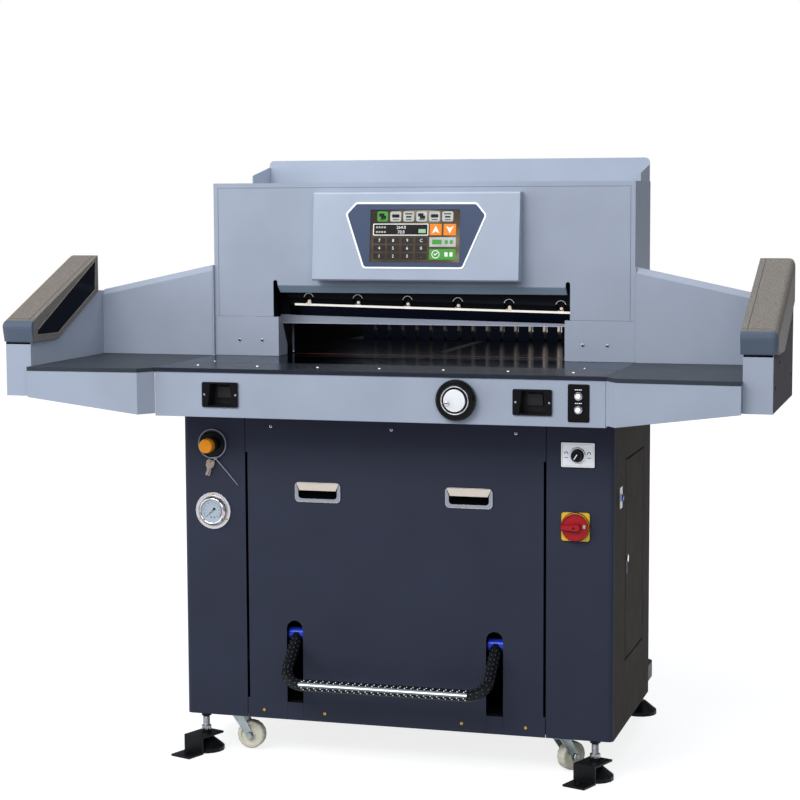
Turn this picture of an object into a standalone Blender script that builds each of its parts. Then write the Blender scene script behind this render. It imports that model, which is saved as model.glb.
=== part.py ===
"""Hydraulic paper cutter for a shop counter: 720 mm cutting width, 80 mm cutting height.

Metres, +X to the operator's right, +Y to the back, +Z up. While the pieces are made, Y is measured
from the cabinet's front face and Z from the floor. At the end one empty carries them all and moves
the middle of the machine's footprint to the origin.
"""
import math

import bmesh
import bpy
from mathutils import Matrix, Vector

# Clearances and cutters
fit_gap = 0.0003
running_gap = 0.0006
overrun = 0.012
sheet = 0.0025
round_sides = 24
small_sides = 16

# Base plate
base_bottom = 0.097
base_thickness = 0.040
base_inset = 0.015
base_front = 0.014
base_back = 0.690
base_corner = 0.030

# Cabinet
cabinet_margin = 0.075
cabinet_back_gap = 0.065
cabinet_bottom = 0.093
cabinet_corner = 0.013
strip_width = 0.1595
seam = 0.0015
relief_width = 0.005
relief_bottom = 0.142
relief_drop = 0.214

# Tables
table_height = 0.959
table_thickness = 0.009
table_side_lip = 0.0075
table_lip = 0.0025
slab_step = 0.242
table_overhang = 0.1545
apron_plate_drop = 0.114
front_plate_inset = 0.001
bed_depth = 0.080

# Head
head_front = 0.233
head_back_gap = 0.009
head_inset = 0.0025
head_height = 0.333
throat_height = 0.099
throat_half_width = 0.365
window_margin = 0.013
window_height = 0.079
window_slit_height = 0.092
window_slit_width = 0.011
lip_depth = 0.021
lip_drop = 0.019
cheek_return = 0.065
cheek_return_top = 0.0216
cheek_slant = 0.073

# Control box and screen
box_half_width = 0.2605
box_rise = 0.093
box_height = 0.216
box_thin = 0.024
box_thick = 0.044
box_edge = 0.004
screen_width = 0.226
screen_height = 0.128
screen_rise = 0.1095
screen_depth = 0.006
screen_recess = 0.002

# Rear hood
hood_inset = 0.024
hood_back = 0.586
hood_rise = 0.072
hood_floor_drop = 0.006
hood_front_rise = 0.021
hood_back_rise = 0.045
hood_panel_rise = 0.0615
hood_corner = 0.012

# Gantry
column_margin = 0.035
column_width = 0.055
column_front = 0.322
column_back = 0.440
column_leg_front = 0.338
column_leg_drop = 0.109
column_top_drop = 0.031
column_foot = 0.030
column_foot_height = 0.035
beam_front = 0.3345
beam_rise = 0.157
beam_height = 0.130
beam_web = 0.022
clamp_bore_radius = 0.0225
clamp_boss_radius = 0.035
clamp_rod_setback = 0.028
clamp_boss_drop = 0.030

# Knife, its carrier and the stroke
knife_line = 0.333
knife_shift = 0.0135
knife_thickness = 0.011
knife_margin = 0.0165
knife_rake = 0.01465
knife_opening = 0.0837
knife_height = 0.095
knife_bevel_height = 0.026
knife_strip = 0.006
carrier_thickness = 0.022
carrier_end_step = 0.003
carrier_shoulder_rise = 0.106
crosshead_thickness = 0.064
crosshead_margin = 0.021
crosshead_rise = 0.272
pocket_radius = 0.0120
pocket_depth = 0.014
pocket_slot_width = 0.012
pocket_slot_drop = 0.030
pocket_rise = 0.0135
pocket_right_inset = 0.0503
pocket_left_inset = 0.0577
pocket_count = 6
pull_inset = 0.021
pull_pin_rise = 0.177
pull_pin_radius = 0.014
pull_bar_width = 0.044
pull_bar_thickness = 0.016
pull_bar_bottom = 0.520
piston_rod_radius = 0.017
cylinder_radius = 0.040
cylinder_top = 0.400
cylinder_wall = 0.012
piston_rod_length = 0.230

# Clamp
clamp_front_gap = 0.0015
clamp_opening = 0.0765
clamp_height = 0.110
clamp_depth = 0.068
clamp_end_gap = 0.004
clamp_notch_width = 0.0345
clamp_notch_depth = 0.030
clamp_rod_radius = 0.0219
clamp_rod_drop = 0.020

# Cutting stick
stick_width = 0.010
stick_height = 0.006
stick_end_gap = 0.013

# Rear table, back gauge and lead screw
rear_table_margin = 0.035
rear_table_back = 1.170
rear_table_thickness = 0.012
rear_slot_width = 0.026
rear_slot_end = 0.022
rear_skirt = 0.075
rear_skirt_thickness = 0.010
guide_margin = 0.018
guide_thickness = 0.006
guide_height = 0.105
guide_gap = 0.0015
bearing_block_width = 0.060
bearing_block_length = 0.015
screw_drop = 0.048
screw_core_radius = 0.0085
screw_crest_radius = 0.0110
screw_lead = 0.020
screw_journal_radius = 0.0080
screw_sides = 8
screw_rows_per_turn = 3
gauge_face = 0.865
gauge_height = 0.085
gauge_depth = 0.050
gauge_rail = 0.020
gauge_side_gap = 0.02605
gauge_finger_count = 17
gauge_slot_width = 0.0072
gauge_slot_head_width = 0.0126
gauge_slot_head_share = 0.265
gauge_slot_shoulder = 0.003
gauge_lift = 0.0005
gauge_foot = 0.006
nut_offset = 0.105
nut_length = 0.030
nut_width = 0.050
nut_height = 0.044
nut_neck_width = 0.020

# Side tables, aprons, back panels, arms and light-curtain housings
side_bend_run = 0.0272
side_table_width = 0.3019
side_bend_y = -0.196
side_outer_y = -0.211
side_back = 0.2295
apron_inset = 0.0015
apron_flange = 0.025
apron_inner_drop = 0.1085
apron_outer_drop = 0.072
back_panel_inner_rise = 0.228
back_panel_outer_rise = 0.164
back_panel_return = 0.014
arm_width = 0.065
arm_front = -0.186
arm_back = 0.252
arm_drop = 0.0715
arm_front_rise = 0.0562
arm_knee_y = -0.050
arm_rise_y = 0.187
arm_back_rise = 0.1607
housing_overhang = 0.006
housing_width = 0.0815
housing_front_top_y = -0.195
housing_front_height = 0.0458
housing_back_y = 0.187
housing_back_height = 0.0913
housing_front_bottom_y = -0.184
housing_round = 0.014
window_inset = 0.0012
window_outline_shares = ((0.089, 0.081), (0.380, 0.073), (0.945, 0.561), (0.958, 0.939), (0.101, 0.152))

# Pedal
pedal_tube_radius = 0.0140
pedal_half_width = 0.248
pedal_axis_y = 0.026
pedal_axis_z = 0.302
pedal_bar_y = -0.088
pedal_bar_z = 0.203
pedal_bend = 0.045
pedal_rod_radius = 0.007
pedal_rod_half_length = 0.312
pedal_slot_half_width = 0.0205
pedal_slot_bottom = 0.136
pedal_slot_top = 0.338
pedal_lug_half_x = 0.292
pedal_lug_thickness = 0.006
pedal_lug_height = 0.036

# Recessed pull handles in the front panel
handle_x = 0.1865
handle_drop = 0.306
handle_width = 0.114
handle_height = 0.048
handle_flange = 0.0025
handle_rim = 0.007
handle_depth = 0.018
handle_wall = 0.0015
handle_radius = 0.010

# Side door in the right cover, its lock
door_front = 0.155
door_back = 0.403
door_bottom = 0.2565
door_drop = 0.225
lock_y = 0.176
lock_z = 0.496
lock_radius = 0.009
lock_barrel_share = 0.75
lock_proud = 0.003
lock_tongue_length = 0.034
lock_tongue_width = 0.014
lock_tongue_thickness = 0.003
lock_reach = 0.008

# Two-hand cut buttons in their finger recesses
recess_inset = 0.1645
recess_drop = 0.061
recess_plate_width = 0.091
recess_plate_height = 0.060
recess_plate_proud = 0.002
recess_top_width = 0.050
recess_bottom_width = 0.062
recess_height = 0.052
recess_depth = 0.042
recess_wall = 0.002
cut_button_width = 0.036
cut_button_height = 0.026
cut_button_corner = 0.003
cut_button_proud = 0.014
cut_button_stem = 0.006
cut_button_travel = 0.005
cut_button_z_shift = 0.004

# Handwheel and the two push buttons on the table's front plate
wheel_x = 0.198
wheel_drop = 0.059
wheel_radius = 0.046
wheel_ring_radius = 0.031
wheel_disc_radius = 0.025
wheel_thickness = 0.020
wheel_shaft_radius = 0.007
wheel_knob_x = -0.0165
wheel_knob_z = -0.007
wheel_knob_radius = 0.0055
wheel_knob_proud = 0.006
push_inset = 0.0605
push_drop = 0.045
push_spacing = 0.0302
push_radius = 0.0058
push_proud = 0.005
push_travel = 0.003
push_ring_radius = 0.0090
push_ring_proud = 0.003
push_stem_radius = 0.004

# Controls on the cabinet's front strips
amber_inset = 0.0744
amber_drop = 0.198
amber_radius = 0.0190
amber_collar_radius = 0.0225
amber_proud = 0.045
amber_travel = 0.006
amber_stem_radius = 0.010
gauge_dial_inset = 0.076
gauge_dial_drop = 0.360
dial_flange_radius = 0.045
dial_flange = 0.003
dial_ring_radius = 0.034
dial_ring_proud = 0.012
dial_glass_radius = 0.029
dial_body_depth = 0.028
selector_inset = 0.086
selector_drop = 0.197
selector_radius = 0.0140
selector_proud = 0.022
selector_base_radius = 0.0185
selector_base = 0.004
selector_stem_radius = 0.006
selector_rest = math.radians(-45)
ridge_share = 0.9
switch_inset = 0.089
switch_drop = 0.3625
switch_plate_size = 0.066
switch_plate = 0.006
switch_disc_radius = 0.0325
switch_disc = 0.010
switch_bar_length = 0.040
switch_bar_width = 0.013
switch_bar_proud = 0.022
switch_stem_radius = 0.006

# Levelling feet, transport brackets and casters
foot_inset = 0.029
foot_front_y = 0.015
foot_back_y = 0.645
foot_pad_radius = 0.044
foot_pad_rim = 0.010
foot_pad_height = 0.034
foot_neck_radius = 0.015
foot_bolt_radius = 0.008
foot_nut_radius = 0.0125
foot_nut_height = 0.011
nut_sides = 6
nut_turn = math.radians(7)
bracket_turn = math.radians(-20)
bracket_width = 0.058
bracket_thickness = 0.005
bracket_plate_distance = 0.050
bracket_rear = 0.030
bracket_flange = 0.048
bracket_bolt_radius = 0.007
bracket_bolt_height = 0.006
caster_left_inset = 0.100
caster_left_y = 0.046
caster_left_turn = 0.0
caster_right_inset = 0.120
caster_right_y = 0.036
caster_right_turn = math.radians(50)
caster_trail = 0.037
caster_wheel_radius = 0.0345
caster_wheel_width = 0.026
caster_axle_z = 0.0385
caster_axle_radius = 0.0045
caster_hub_radius = 0.012
caster_fork_gap = 0.0015
caster_fork_sheet = 0.003
caster_fork_width = 0.020
caster_head_radius = 0.024
caster_head_height = 0.008

# Hydraulic power pack
tank_x = -0.100
tank_half_width = 0.180
tank_depth = 0.185
tank_gap = 0.020
tank_height = 0.260
tank_lid = 0.008
tank_lid_lip = 0.010
motor_radius = 0.075
motor_length = 0.240
motor_foot_height = 0.012
motor_fin_count = 16
motor_fin_height = 0.006
pump_radius = 0.040
pump_length = 0.080

# Paints as display colours, roughness and metallic value
paints = {
    "body": ((0.61, 0.66, 0.74), 0.45, 0.0),
    "box": ((0.70, 0.76, 0.84), 0.45, 0.0),
    "hood": ((0.67, 0.72, 0.79), 0.45, 0.0),
    "cabinet": ((0.20, 0.22, 0.27), 0.60, 0.0),
    "table": ((0.29, 0.31, 0.34), 0.22, 0.9),
    "iron": ((0.24, 0.25, 0.27), 0.55, 0.6),
    "carrier": ((0.07, 0.07, 0.08), 0.40, 0.5),
    "blade": ((0.45, 0.47, 0.50), 0.18, 1.0),
    "steel": ((0.70, 0.71, 0.73), 0.28, 1.0),
    "chrome": ((0.86, 0.87, 0.88), 0.12, 1.0),
    "black": ((0.03, 0.03, 0.035), 0.45, 0.0),
    "black_steel": ((0.05, 0.05, 0.055), 0.45, 0.3),
    "housing": ((0.50, 0.52, 0.53), 0.55, 0.0),
    "stick": ((0.62, 0.10, 0.12), 0.50, 0.0),
    "glass": ((0.35, 0.33, 0.30), 0.08, 0.0),
    "yellow": ((0.88, 0.73, 0.20), 0.40, 0.0),
    "red": ((0.70, 0.10, 0.16), 0.40, 0.0),
    "amber": ((0.94, 0.58, 0.08), 0.35, 0.0),
    "nylon": ((0.88, 0.87, 0.80), 0.50, 0.0),
    "zinc": ((0.62, 0.66, 0.66), 0.35, 0.9),
    "motor": ((0.20, 0.30, 0.42), 0.50, 0.1),
}


def linear(value):
    """Turns one display colour channel into the linear value that a shader takes."""
    knee, slope, offset, gamma = 0.04045, 12.92, 0.055, 2.4
    return value / slope if value <= knee else ((value + offset) / (1 + offset)) ** gamma


def paint(piece, finish):
    """Gives a piece a material of its own."""
    colour, roughness, metallic = paints[finish]
    material = bpy.data.materials.new(piece.name)
    material.use_nodes = True
    shader = material.node_tree.nodes["Principled BSDF"]
    shader.inputs["Base Color"].default_value = (*[linear(channel) for channel in colour], 1)
    shader.inputs["Roughness"].default_value = roughness
    shader.inputs["Metallic"].default_value = metallic
    piece.data.materials.clear()
    piece.data.materials.append(material)


def make(name, form):
    """Turns a bmesh form into a named object with its faces pointing out."""
    bmesh.ops.recalc_face_normals(form, faces=form.faces)
    mesh = bpy.data.meshes.new(name)
    form.to_mesh(mesh)
    form.free()
    piece = bpy.data.objects.new(name, mesh)
    bpy.context.collection.objects.link(piece)
    return piece


def block(name, x, y, z):
    """A box between (low, high) pairs."""
    form = bmesh.new()
    bmesh.ops.create_cube(form, size=1)
    for vertex in form.verts:
        vertex.co = [(low + high) / 2 + share * (high - low)
                     for share, (low, high) in zip(vertex.co, (x, y, z))]
    return make(name, form)


def place(axis, first, second, along):
    """The point whose two outline coordinates and distance along the axis are given."""
    return {"X": (along, first, second), "Y": (first, along, second), "Z": (first, second, along)}[axis]


def prism(name, axis, outline, low, high):
    """Extrudes an outline: (y, z) points along X, (x, z) points along Y or (x, y) points along Z."""
    form = bmesh.new()
    near = [form.verts.new(place(axis, a, b, low)) for a, b in outline]
    far = [form.verts.new(place(axis, a, b, high)) for a, b in outline]
    form.faces.new(near)
    form.faces.new(far)
    for index in range(len(outline)):
        after = (index + 1) % len(outline)
        form.faces.new((near[index], near[after], far[after], far[index]))
    return make(name, form)


def arc(centre, radius, start, end, steps):
    """Points on an arc; angles in degrees from the outline's first axis towards its second."""
    angles = [math.radians(start + (end - start) * step / steps) for step in range(steps + 1)]
    return [(centre[0] + radius * math.cos(a), centre[1] + radius * math.sin(a)) for a in angles]


def ring_points(centre, radius, sides):
    """A regular outline whose flats lie outside the circle by less than its sagitta."""
    return arc(centre, radius, 0, 360, sides)[:-1]


def round_rectangle(first, second, radius, steps=4):
    """A rectangle between two (low, high) pairs with rounded corners."""
    (a0, a1), (b0, b1) = first, second
    corners = [((a1 - radius, b0 + radius), -90), ((a1 - radius, b1 - radius), 0),
               ((a0 + radius, b1 - radius), 90), ((a0 + radius, b0 + radius), 180)]
    return [point for centre, start in corners for point in arc(centre, radius, start, start + 90, steps)]


def rod(name, axis, centre, radius, low, high, sides=round_sides):
    """A round bar along an axis; the centre is given in the outline's two coordinates."""
    return prism(name, axis, ring_points(centre, radius, sides), low, high)


def turned(name, axis, centre, profile, sides=round_sides):
    """Revolves a closed profile of (distance along the axis, radius) points that ends on the axis."""
    form = bmesh.new()
    rings = []
    for along, radius in profile:
        if radius == 0:
            rings.append([form.verts.new(place(axis, *centre, along))])
        else:
            rings.append([form.verts.new(place(axis, a, b, along)) for a, b in ring_points(centre, radius, sides)])
    for ring, after in zip(rings, rings[1:]):
        for index in range(sides):
            turn = (index + 1) % sides
            corners = [ring[index % len(ring)], ring[turn % len(ring)],
                       after[turn % len(after)], after[index % len(after)]]
            form.faces.new(list(dict.fromkeys(corners)))
    return make(name, form)


def combine(piece, tool, operation):
    """Applies an exact Boolean between a piece and a tool, and removes the tool."""
    step = piece.modifiers.new(operation, "BOOLEAN")
    step.operation = operation
    step.solver = "EXACT"
    step.object = tool
    bpy.context.view_layer.update()
    whole = piece.evaluated_get(bpy.context.evaluated_depsgraph_get())
    mesh = bpy.data.meshes.new_from_object(whole)
    piece.modifiers.clear()
    piece.data = mesh
    mesh.name = piece.name
    bpy.data.objects.remove(tool)
    return piece


def cut(piece, *tools):
    """Takes the tools' shapes out of a piece."""
    for tool in tools:
        combine(piece, tool, "DIFFERENCE")
    return piece


def join(piece, *parts):
    """Fuses parts that overlap a piece into it."""
    for part in parts:
        combine(piece, part, "UNION")
    return piece


def tidy(piece):
    """Dissolves the flat seams that a Boolean leaves, and shades round faces smooth."""
    form = bmesh.new()
    form.from_mesh(piece.data)
    weld, flat = 0.00002, math.radians(0.05)
    bmesh.ops.remove_doubles(form, verts=form.verts, dist=weld)
    bmesh.ops.dissolve_limit(form, angle_limit=flat, verts=form.verts, edges=form.edges)
    bmesh.ops.recalc_face_normals(form, faces=form.faces)
    form.to_mesh(piece.data)
    form.free()
    piece.data.shade_smooth()
    piece.data.set_sharp_from_angle(angle=math.radians(35))
    return piece


def mirror_x(piece, name):
    """A copy of a piece on the machine's other side."""
    form = bmesh.new()
    form.from_mesh(piece.data)
    bmesh.ops.scale(form, vec=(-1, 1, 1), verts=form.verts)
    bmesh.ops.reverse_faces(form, faces=form.faces)
    return make(name, form)


def turn_about(piece, point, axis, angle):
    """Turns a piece's mesh about an axis through a point."""
    piece.data.transform(Matrix.Translation(point) @ Matrix.Rotation(angle, 4, axis)
                         @ Matrix.Translation([-value for value in point]))
    return piece


def hinge_at(piece, point):
    """Puts a piece's origin on its joint's axis without moving its shape."""
    piece.data.transform(Matrix.Translation([-value for value in point]))
    piece.location = point
    return piece


# Places that several pieces share
column_inner = throat_half_width + column_margin
column_outer = column_inner + column_width
window_half_width = throat_half_width + window_margin
pull_x = column_inner + pull_inset
crosshead_half_width = pull_x + crosshead_margin
knife_half_length = throat_half_width + knife_margin
carrier_half_width = knife_half_length - carrier_end_step
clamp_half_length = column_inner - clamp_end_gap
stick_half_length = throat_half_width - stick_end_gap
rear_table_half_width = throat_half_width + rear_table_margin
cabinet_half_width = column_outer + cabinet_margin
cabinet_depth = column_back + cabinet_back_gap
head_back = column_back + head_back_gap
tank_back = cabinet_depth - tank_gap
tank_front = tank_back - tank_depth
base_half_width = cabinet_half_width - base_inset
panel_seam_x = cabinet_half_width - strip_width
table_half_width = cabinet_half_width + table_side_lip
front_plate_half_width = table_half_width - front_plate_inset
head_half_width = table_half_width - head_inset
hood_half_width = head_half_width - hood_inset
side_inner = table_half_width + fit_gap
side_bend = side_inner + side_bend_run
side_outer = side_inner + side_table_width
arm_inner = side_outer + fit_gap
arm_outer = arm_inner + arm_width
housing_inner = arm_inner - housing_overhang
housing_outer = housing_inner + housing_width
amber_x = amber_inset - cabinet_half_width
gauge_dial_x = gauge_dial_inset - cabinet_half_width
selector_x = cabinet_half_width - selector_inset
switch_x = cabinet_half_width - switch_inset
push_x = front_plate_half_width - push_inset
recess_x = front_plate_half_width - recess_inset
foot_x = base_half_width - foot_inset
caster_left_x = caster_left_inset - base_half_width
caster_right_x = base_half_width - caster_right_inset
head_bottom = table_height + throat_height
head_top = head_bottom + head_height
window_top = head_bottom + window_height
window_slit_top = head_bottom + window_slit_height
box_bottom = head_bottom + box_rise
box_top = box_bottom + box_height
screen_centre_z = box_bottom + screen_rise
hood_bottom = head_bottom + hood_rise
hood_floor = head_top - hood_floor_drop
hood_wall_front = head_top + hood_front_rise
hood_wall_back = head_top + hood_back_rise
hood_top = head_top + hood_panel_rise
column_leg_top = table_height - column_leg_drop
column_top = head_top - column_top_drop
beam_bottom = head_bottom + beam_rise
beam_top = beam_bottom + beam_height
knife_edge_right = table_height + knife_opening
knife_edge_left = knife_edge_right + knife_rake
carrier_shoulder = head_bottom + carrier_shoulder_rise
crosshead_top = head_bottom + crosshead_rise
pull_pin_z = head_bottom + pull_pin_rise
clamp_bottom = table_height + clamp_opening
clamp_rod_top = beam_top - clamp_rod_drop
apron_plate_bottom = table_height - apron_plate_drop
apron_bottom_inner = table_height - apron_inner_drop
apron_bottom_outer = table_height - apron_outer_drop
back_panel_top_inner = table_height + back_panel_inner_rise
back_panel_top_outer = table_height + back_panel_outer_rise
arm_bottom = table_height - arm_drop
arm_front_top = table_height + arm_front_rise
arm_back_top = table_height + arm_back_rise
housing_front_top_z = arm_front_top + housing_front_height
housing_back_top = arm_back_top + housing_back_height
relief_top = table_height - relief_drop
handle_z = table_height - handle_drop
recess_z = table_height - recess_drop
wheel_z = table_height - wheel_drop
push_upper_z = table_height - push_drop
push_lower_z = push_upper_z - push_spacing
amber_z = table_height - amber_drop
gauge_dial_z = table_height - gauge_dial_drop
selector_z = table_height - selector_drop
switch_z = table_height - switch_drop
door_top = table_height - door_drop
gauge_half_width = throat_half_width - gauge_side_gap
gauge_pitch = (2 * gauge_half_width + gauge_slot_width) / gauge_finger_count
pocket_first_x = knife_shift - carrier_half_width + pocket_left_inset
pocket_last_x = knife_shift + carrier_half_width - pocket_right_inset
pocket_pitch = (pocket_last_x - pocket_first_x) / (pocket_count - 1)
housing_length = housing_back_y - housing_front_top_y
housing_rise = housing_back_top - arm_front_top
window_outline = [(housing_front_top_y + along * housing_length, arm_front_top + up * housing_rise)
                  for along, up in window_outline_shares]
clamp_back = knife_line + clamp_front_gap + clamp_depth
base_top = base_bottom + base_thickness
clamp_rod_y = knife_line + clamp_front_gap + clamp_rod_setback
pull_y = knife_line - knife_thickness - crosshead_thickness * 2 / 3
edge_slope = (knife_edge_left - knife_edge_right) / (2 * knife_half_length)
slab_bottom = table_height - table_thickness
cabinet_top = slab_bottom - fit_gap
strip_edge = panel_seam_x + seam / 2
panel_edge = panel_seam_x - seam / 2
front_plate_y = -table_overhang
feet = {"foot_front_left": (-foot_x, foot_front_y), "foot_front_right": (foot_x, foot_front_y),
        "foot_rear_left": (-foot_x, foot_back_y), "foot_rear_right": (foot_x, foot_back_y)}


def base_plate():
    outline = round_rectangle((-base_half_width, base_half_width), (base_front, base_back), base_corner)
    plate = prism("base_plate", "Z", outline, base_bottom, base_top)
    for centre in feet.values():
        cut(plate, rod("hole", "Z", centre, foot_bolt_radius + running_gap, base_bottom - overrun,
                       base_top + overrun, small_sides))
    return plate


def cabinet_side(name):
    """The right cover: side sheet, rounded front corner and front strip in one bent sheet."""
    outer, inner = cabinet_corner, cabinet_corner - sheet
    corner = (cabinet_half_width - cabinet_corner, cabinet_corner)
    outline = [(strip_edge, 0), *arc(corner, outer, -90, 0, 5), (cabinet_half_width, cabinet_depth),
               (cabinet_half_width - sheet, cabinet_depth), *arc(corner, inner, 0, -90, 5), (strip_edge, sheet)]
    return prism(name, "Z", outline, cabinet_bottom, cabinet_top)


def drill_strip(cover, x, z, radius):
    """A round hole through a front strip for a control's body or stem."""
    return cut(cover, rod("hole", "Y", (x, z), radius + running_gap, -overrun, sheet + overrun, small_sides))


def cabinet_left():
    cover = mirror_x(cabinet_side("whole_side"), "cabinet_left")
    bpy.data.objects.remove(bpy.data.objects["whole_side"])
    drill_strip(cover, amber_x, amber_z, amber_stem_radius)
    return drill_strip(cover, gauge_dial_x, gauge_dial_z, dial_glass_radius)


def cabinet_right():
    cover = cabinet_side("cabinet_right")
    drill_strip(cover, selector_x, selector_z, selector_stem_radius)
    drill_strip(cover, switch_x, switch_z, switch_stem_radius + sheet)
    opening = block("opening", (cabinet_half_width - sheet - overrun, cabinet_half_width + overrun),
                    (door_front - seam, door_back + fit_gap), (door_bottom - seam, door_top + seam))
    return cut(cover, opening)


def cabinet_back():
    inside = cabinet_half_width - sheet - fit_gap
    return block("cabinet_back", (-inside, inside), (cabinet_depth - sheet, cabinet_depth),
                 (base_top + fit_gap, apron_plate_bottom))


def side_door():
    door = block("side_door", (cabinet_half_width - sheet, cabinet_half_width), (door_front, door_back),
                 (door_bottom, door_top))
    hole = rod("hole", "X", (lock_y, lock_z), lock_radius * lock_barrel_share + running_gap,
               cabinet_half_width - sheet - overrun, cabinet_half_width + overrun, small_sides)
    cut(door, hole)
    return hinge_at(door, (cabinet_half_width, door_back, door_bottom))


def door_lock():
    """A cam lock: its tongue hangs inside the door at rest and turns behind the cover's front edge."""
    inside = cabinet_half_width - sheet
    barrel = lock_radius * lock_barrel_share
    tongue_out = inside - lock_reach + lock_tongue_thickness
    lock = rod("door_lock", "X", (lock_y, lock_z), barrel, inside - lock_reach,
               cabinet_half_width + lock_proud, small_sides)
    head = rod("head", "X", (lock_y, lock_z), lock_radius, cabinet_half_width + fit_gap,
               cabinet_half_width + lock_proud, small_sides)
    tongue = block("tongue", (inside - lock_reach, tongue_out),
                   (lock_y - lock_tongue_width / 2, lock_y + lock_tongue_width / 2),
                   (lock_z - lock_tongue_length, lock_z))
    return hinge_at(join(lock, head, tongue), (cabinet_half_width, lock_y, lock_z))


def front_panel():
    """The centre panel: rounded pedal slots, side reliefs, handle cut-outs and the pedal's two lugs."""
    panel = block("front_panel", (-panel_edge, panel_edge), (0, sheet),
                  (cabinet_bottom, apron_plate_bottom - fit_gap))
    slot_round = pedal_slot_top - pedal_slot_half_width
    for side in (-1, 1):
        middle = side * pedal_half_width
        slot = [(middle - pedal_slot_half_width, pedal_slot_bottom),
                (middle + pedal_slot_half_width, pedal_slot_bottom),
                *arc((middle, slot_round), pedal_slot_half_width, 0, 180, 8)]
        edge = side * (panel_edge - relief_width)
        cut(panel, prism("slot", "Y", slot, -overrun, sheet + overrun),
            block("relief", sorted((edge, edge + side * (relief_width + overrun))), (-overrun, sheet + overrun),
                  (relief_bottom, relief_top)),
            handle_opening(side, fit_gap))
        lug_x = side * pedal_lug_half_x
        lug = block("lug", (lug_x - pedal_lug_thickness / 2, lug_x + pedal_lug_thickness / 2),
                    (sheet / 2, pedal_axis_y + pedal_lug_height / 2),
                    (pedal_axis_z - pedal_lug_height / 2, pedal_axis_z + pedal_lug_height / 2))
        cut(lug, rod("bore", "X", (pedal_axis_y, pedal_axis_z), pedal_rod_radius + running_gap,
                     lug_x - overrun, lug_x + overrun, small_sides))
        join(panel, lug)
    return panel


def handle_opening(side, gap):
    """The space of a pull handle's cup, widened by a gap."""
    half_width = handle_width / 2 - handle_rim + gap
    half_height = handle_height / 2 - handle_rim + gap
    middle = side * handle_x
    outline = round_rectangle((middle - half_width, middle + half_width),
                              (handle_z - half_height, handle_z + half_height), handle_radius)
    return prism("cup_space", "Y", outline, -overrun, handle_depth)


def pull_handle(name, side):
    """A recessed pull: a flange on the panel and a thin-walled cup behind it."""
    middle = side * handle_x
    half_width, half_height = handle_width / 2, handle_height / 2
    flange = prism(name, "Y", round_rectangle((middle - half_width, middle + half_width),
                                              (handle_z - half_height, handle_z + half_height), handle_radius),
                   -handle_flange, -fit_gap)
    cup = handle_opening(side, 0)
    cut(cup, block("front", (middle - handle_width, middle + handle_width), (-overrun - overrun, -handle_flange / 2),
                   (handle_z - handle_height, handle_z + handle_height)))
    join(flange, cup)
    inner_width, inner_height = half_width - handle_rim - handle_wall, half_height - handle_rim - handle_wall
    hollow = round_rectangle((middle - inner_width, middle + inner_width),
                             (handle_z - inner_height, handle_z + inner_height), handle_radius - handle_wall)
    return cut(flange, prism("hollow", "Y", hollow, -overrun, handle_depth - handle_wall))


def recess_outline(side, grow):
    """The finger recess of a two-hand button: wider at the bottom; grow moves every side out."""
    middle = side * recess_x
    low, high = recess_z - recess_height / 2 - grow, recess_z + recess_height / 2 + grow
    bottom, top = recess_bottom_width / 2 + grow, recess_top_width / 2 + grow
    return [(middle - bottom, low), (middle + bottom, low), (middle + top, high), (middle - top, high)]


def table_front():
    """The painted front of the table: front, ends and floor of one bent sheet, with its button recesses."""
    front, back = front_plate_y, -fit_gap
    half, low, high = front_plate_half_width, apron_plate_bottom, slab_bottom - fit_gap
    plate = block("table_front", (-half, half), (front, back), (low, high))
    cut(plate, block("inside", (sheet - half, half - sheet), (front + sheet, back + overrun),
                     (low + sheet, high + overrun)))
    for side in (-1, 1):
        middle = side * recess_x
        face = round_rectangle((middle - recess_plate_width / 2, middle + recess_plate_width / 2),
                               (recess_z - recess_plate_height / 2, recess_z + recess_plate_height / 2),
                               handle_radius / 2)
        join(plate, prism("face", "Y", face, front - recess_plate_proud, front + sheet / 2),
             prism("cup", "Y", recess_outline(side, recess_wall), front + sheet / 3, front + recess_depth))
        cut(plate, prism("hollow", "Y", recess_outline(side, 0), front - overrun,
                         front + recess_depth - recess_wall),
            rod("hole", "Y", (middle, recess_z + cut_button_z_shift), cut_button_stem + running_gap,
                front, front + recess_depth + overrun, small_sides))
    for z in (push_upper_z, push_lower_z):
        join(plate, rod("ring", "Y", (push_x, z), push_ring_radius, front - push_ring_proud, front + sheet / 2))
        seat, hole, end = push_radius + running_gap, push_stem_radius + running_gap, front + sheet + overrun
        cut(plate, turned("seat", "Y", (push_x, z), [(front - overrun, 0), (front - overrun, seat),
                                                     (front + fit_gap, seat), (front + fit_gap, hole),
                                                     (end, hole), (end, 0)]))
    return cut(plate, rod("hole", "Y", (wheel_x, wheel_z), wheel_shaft_radius + running_gap, front - overrun,
                          front + sheet + overrun, small_sides))


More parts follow.
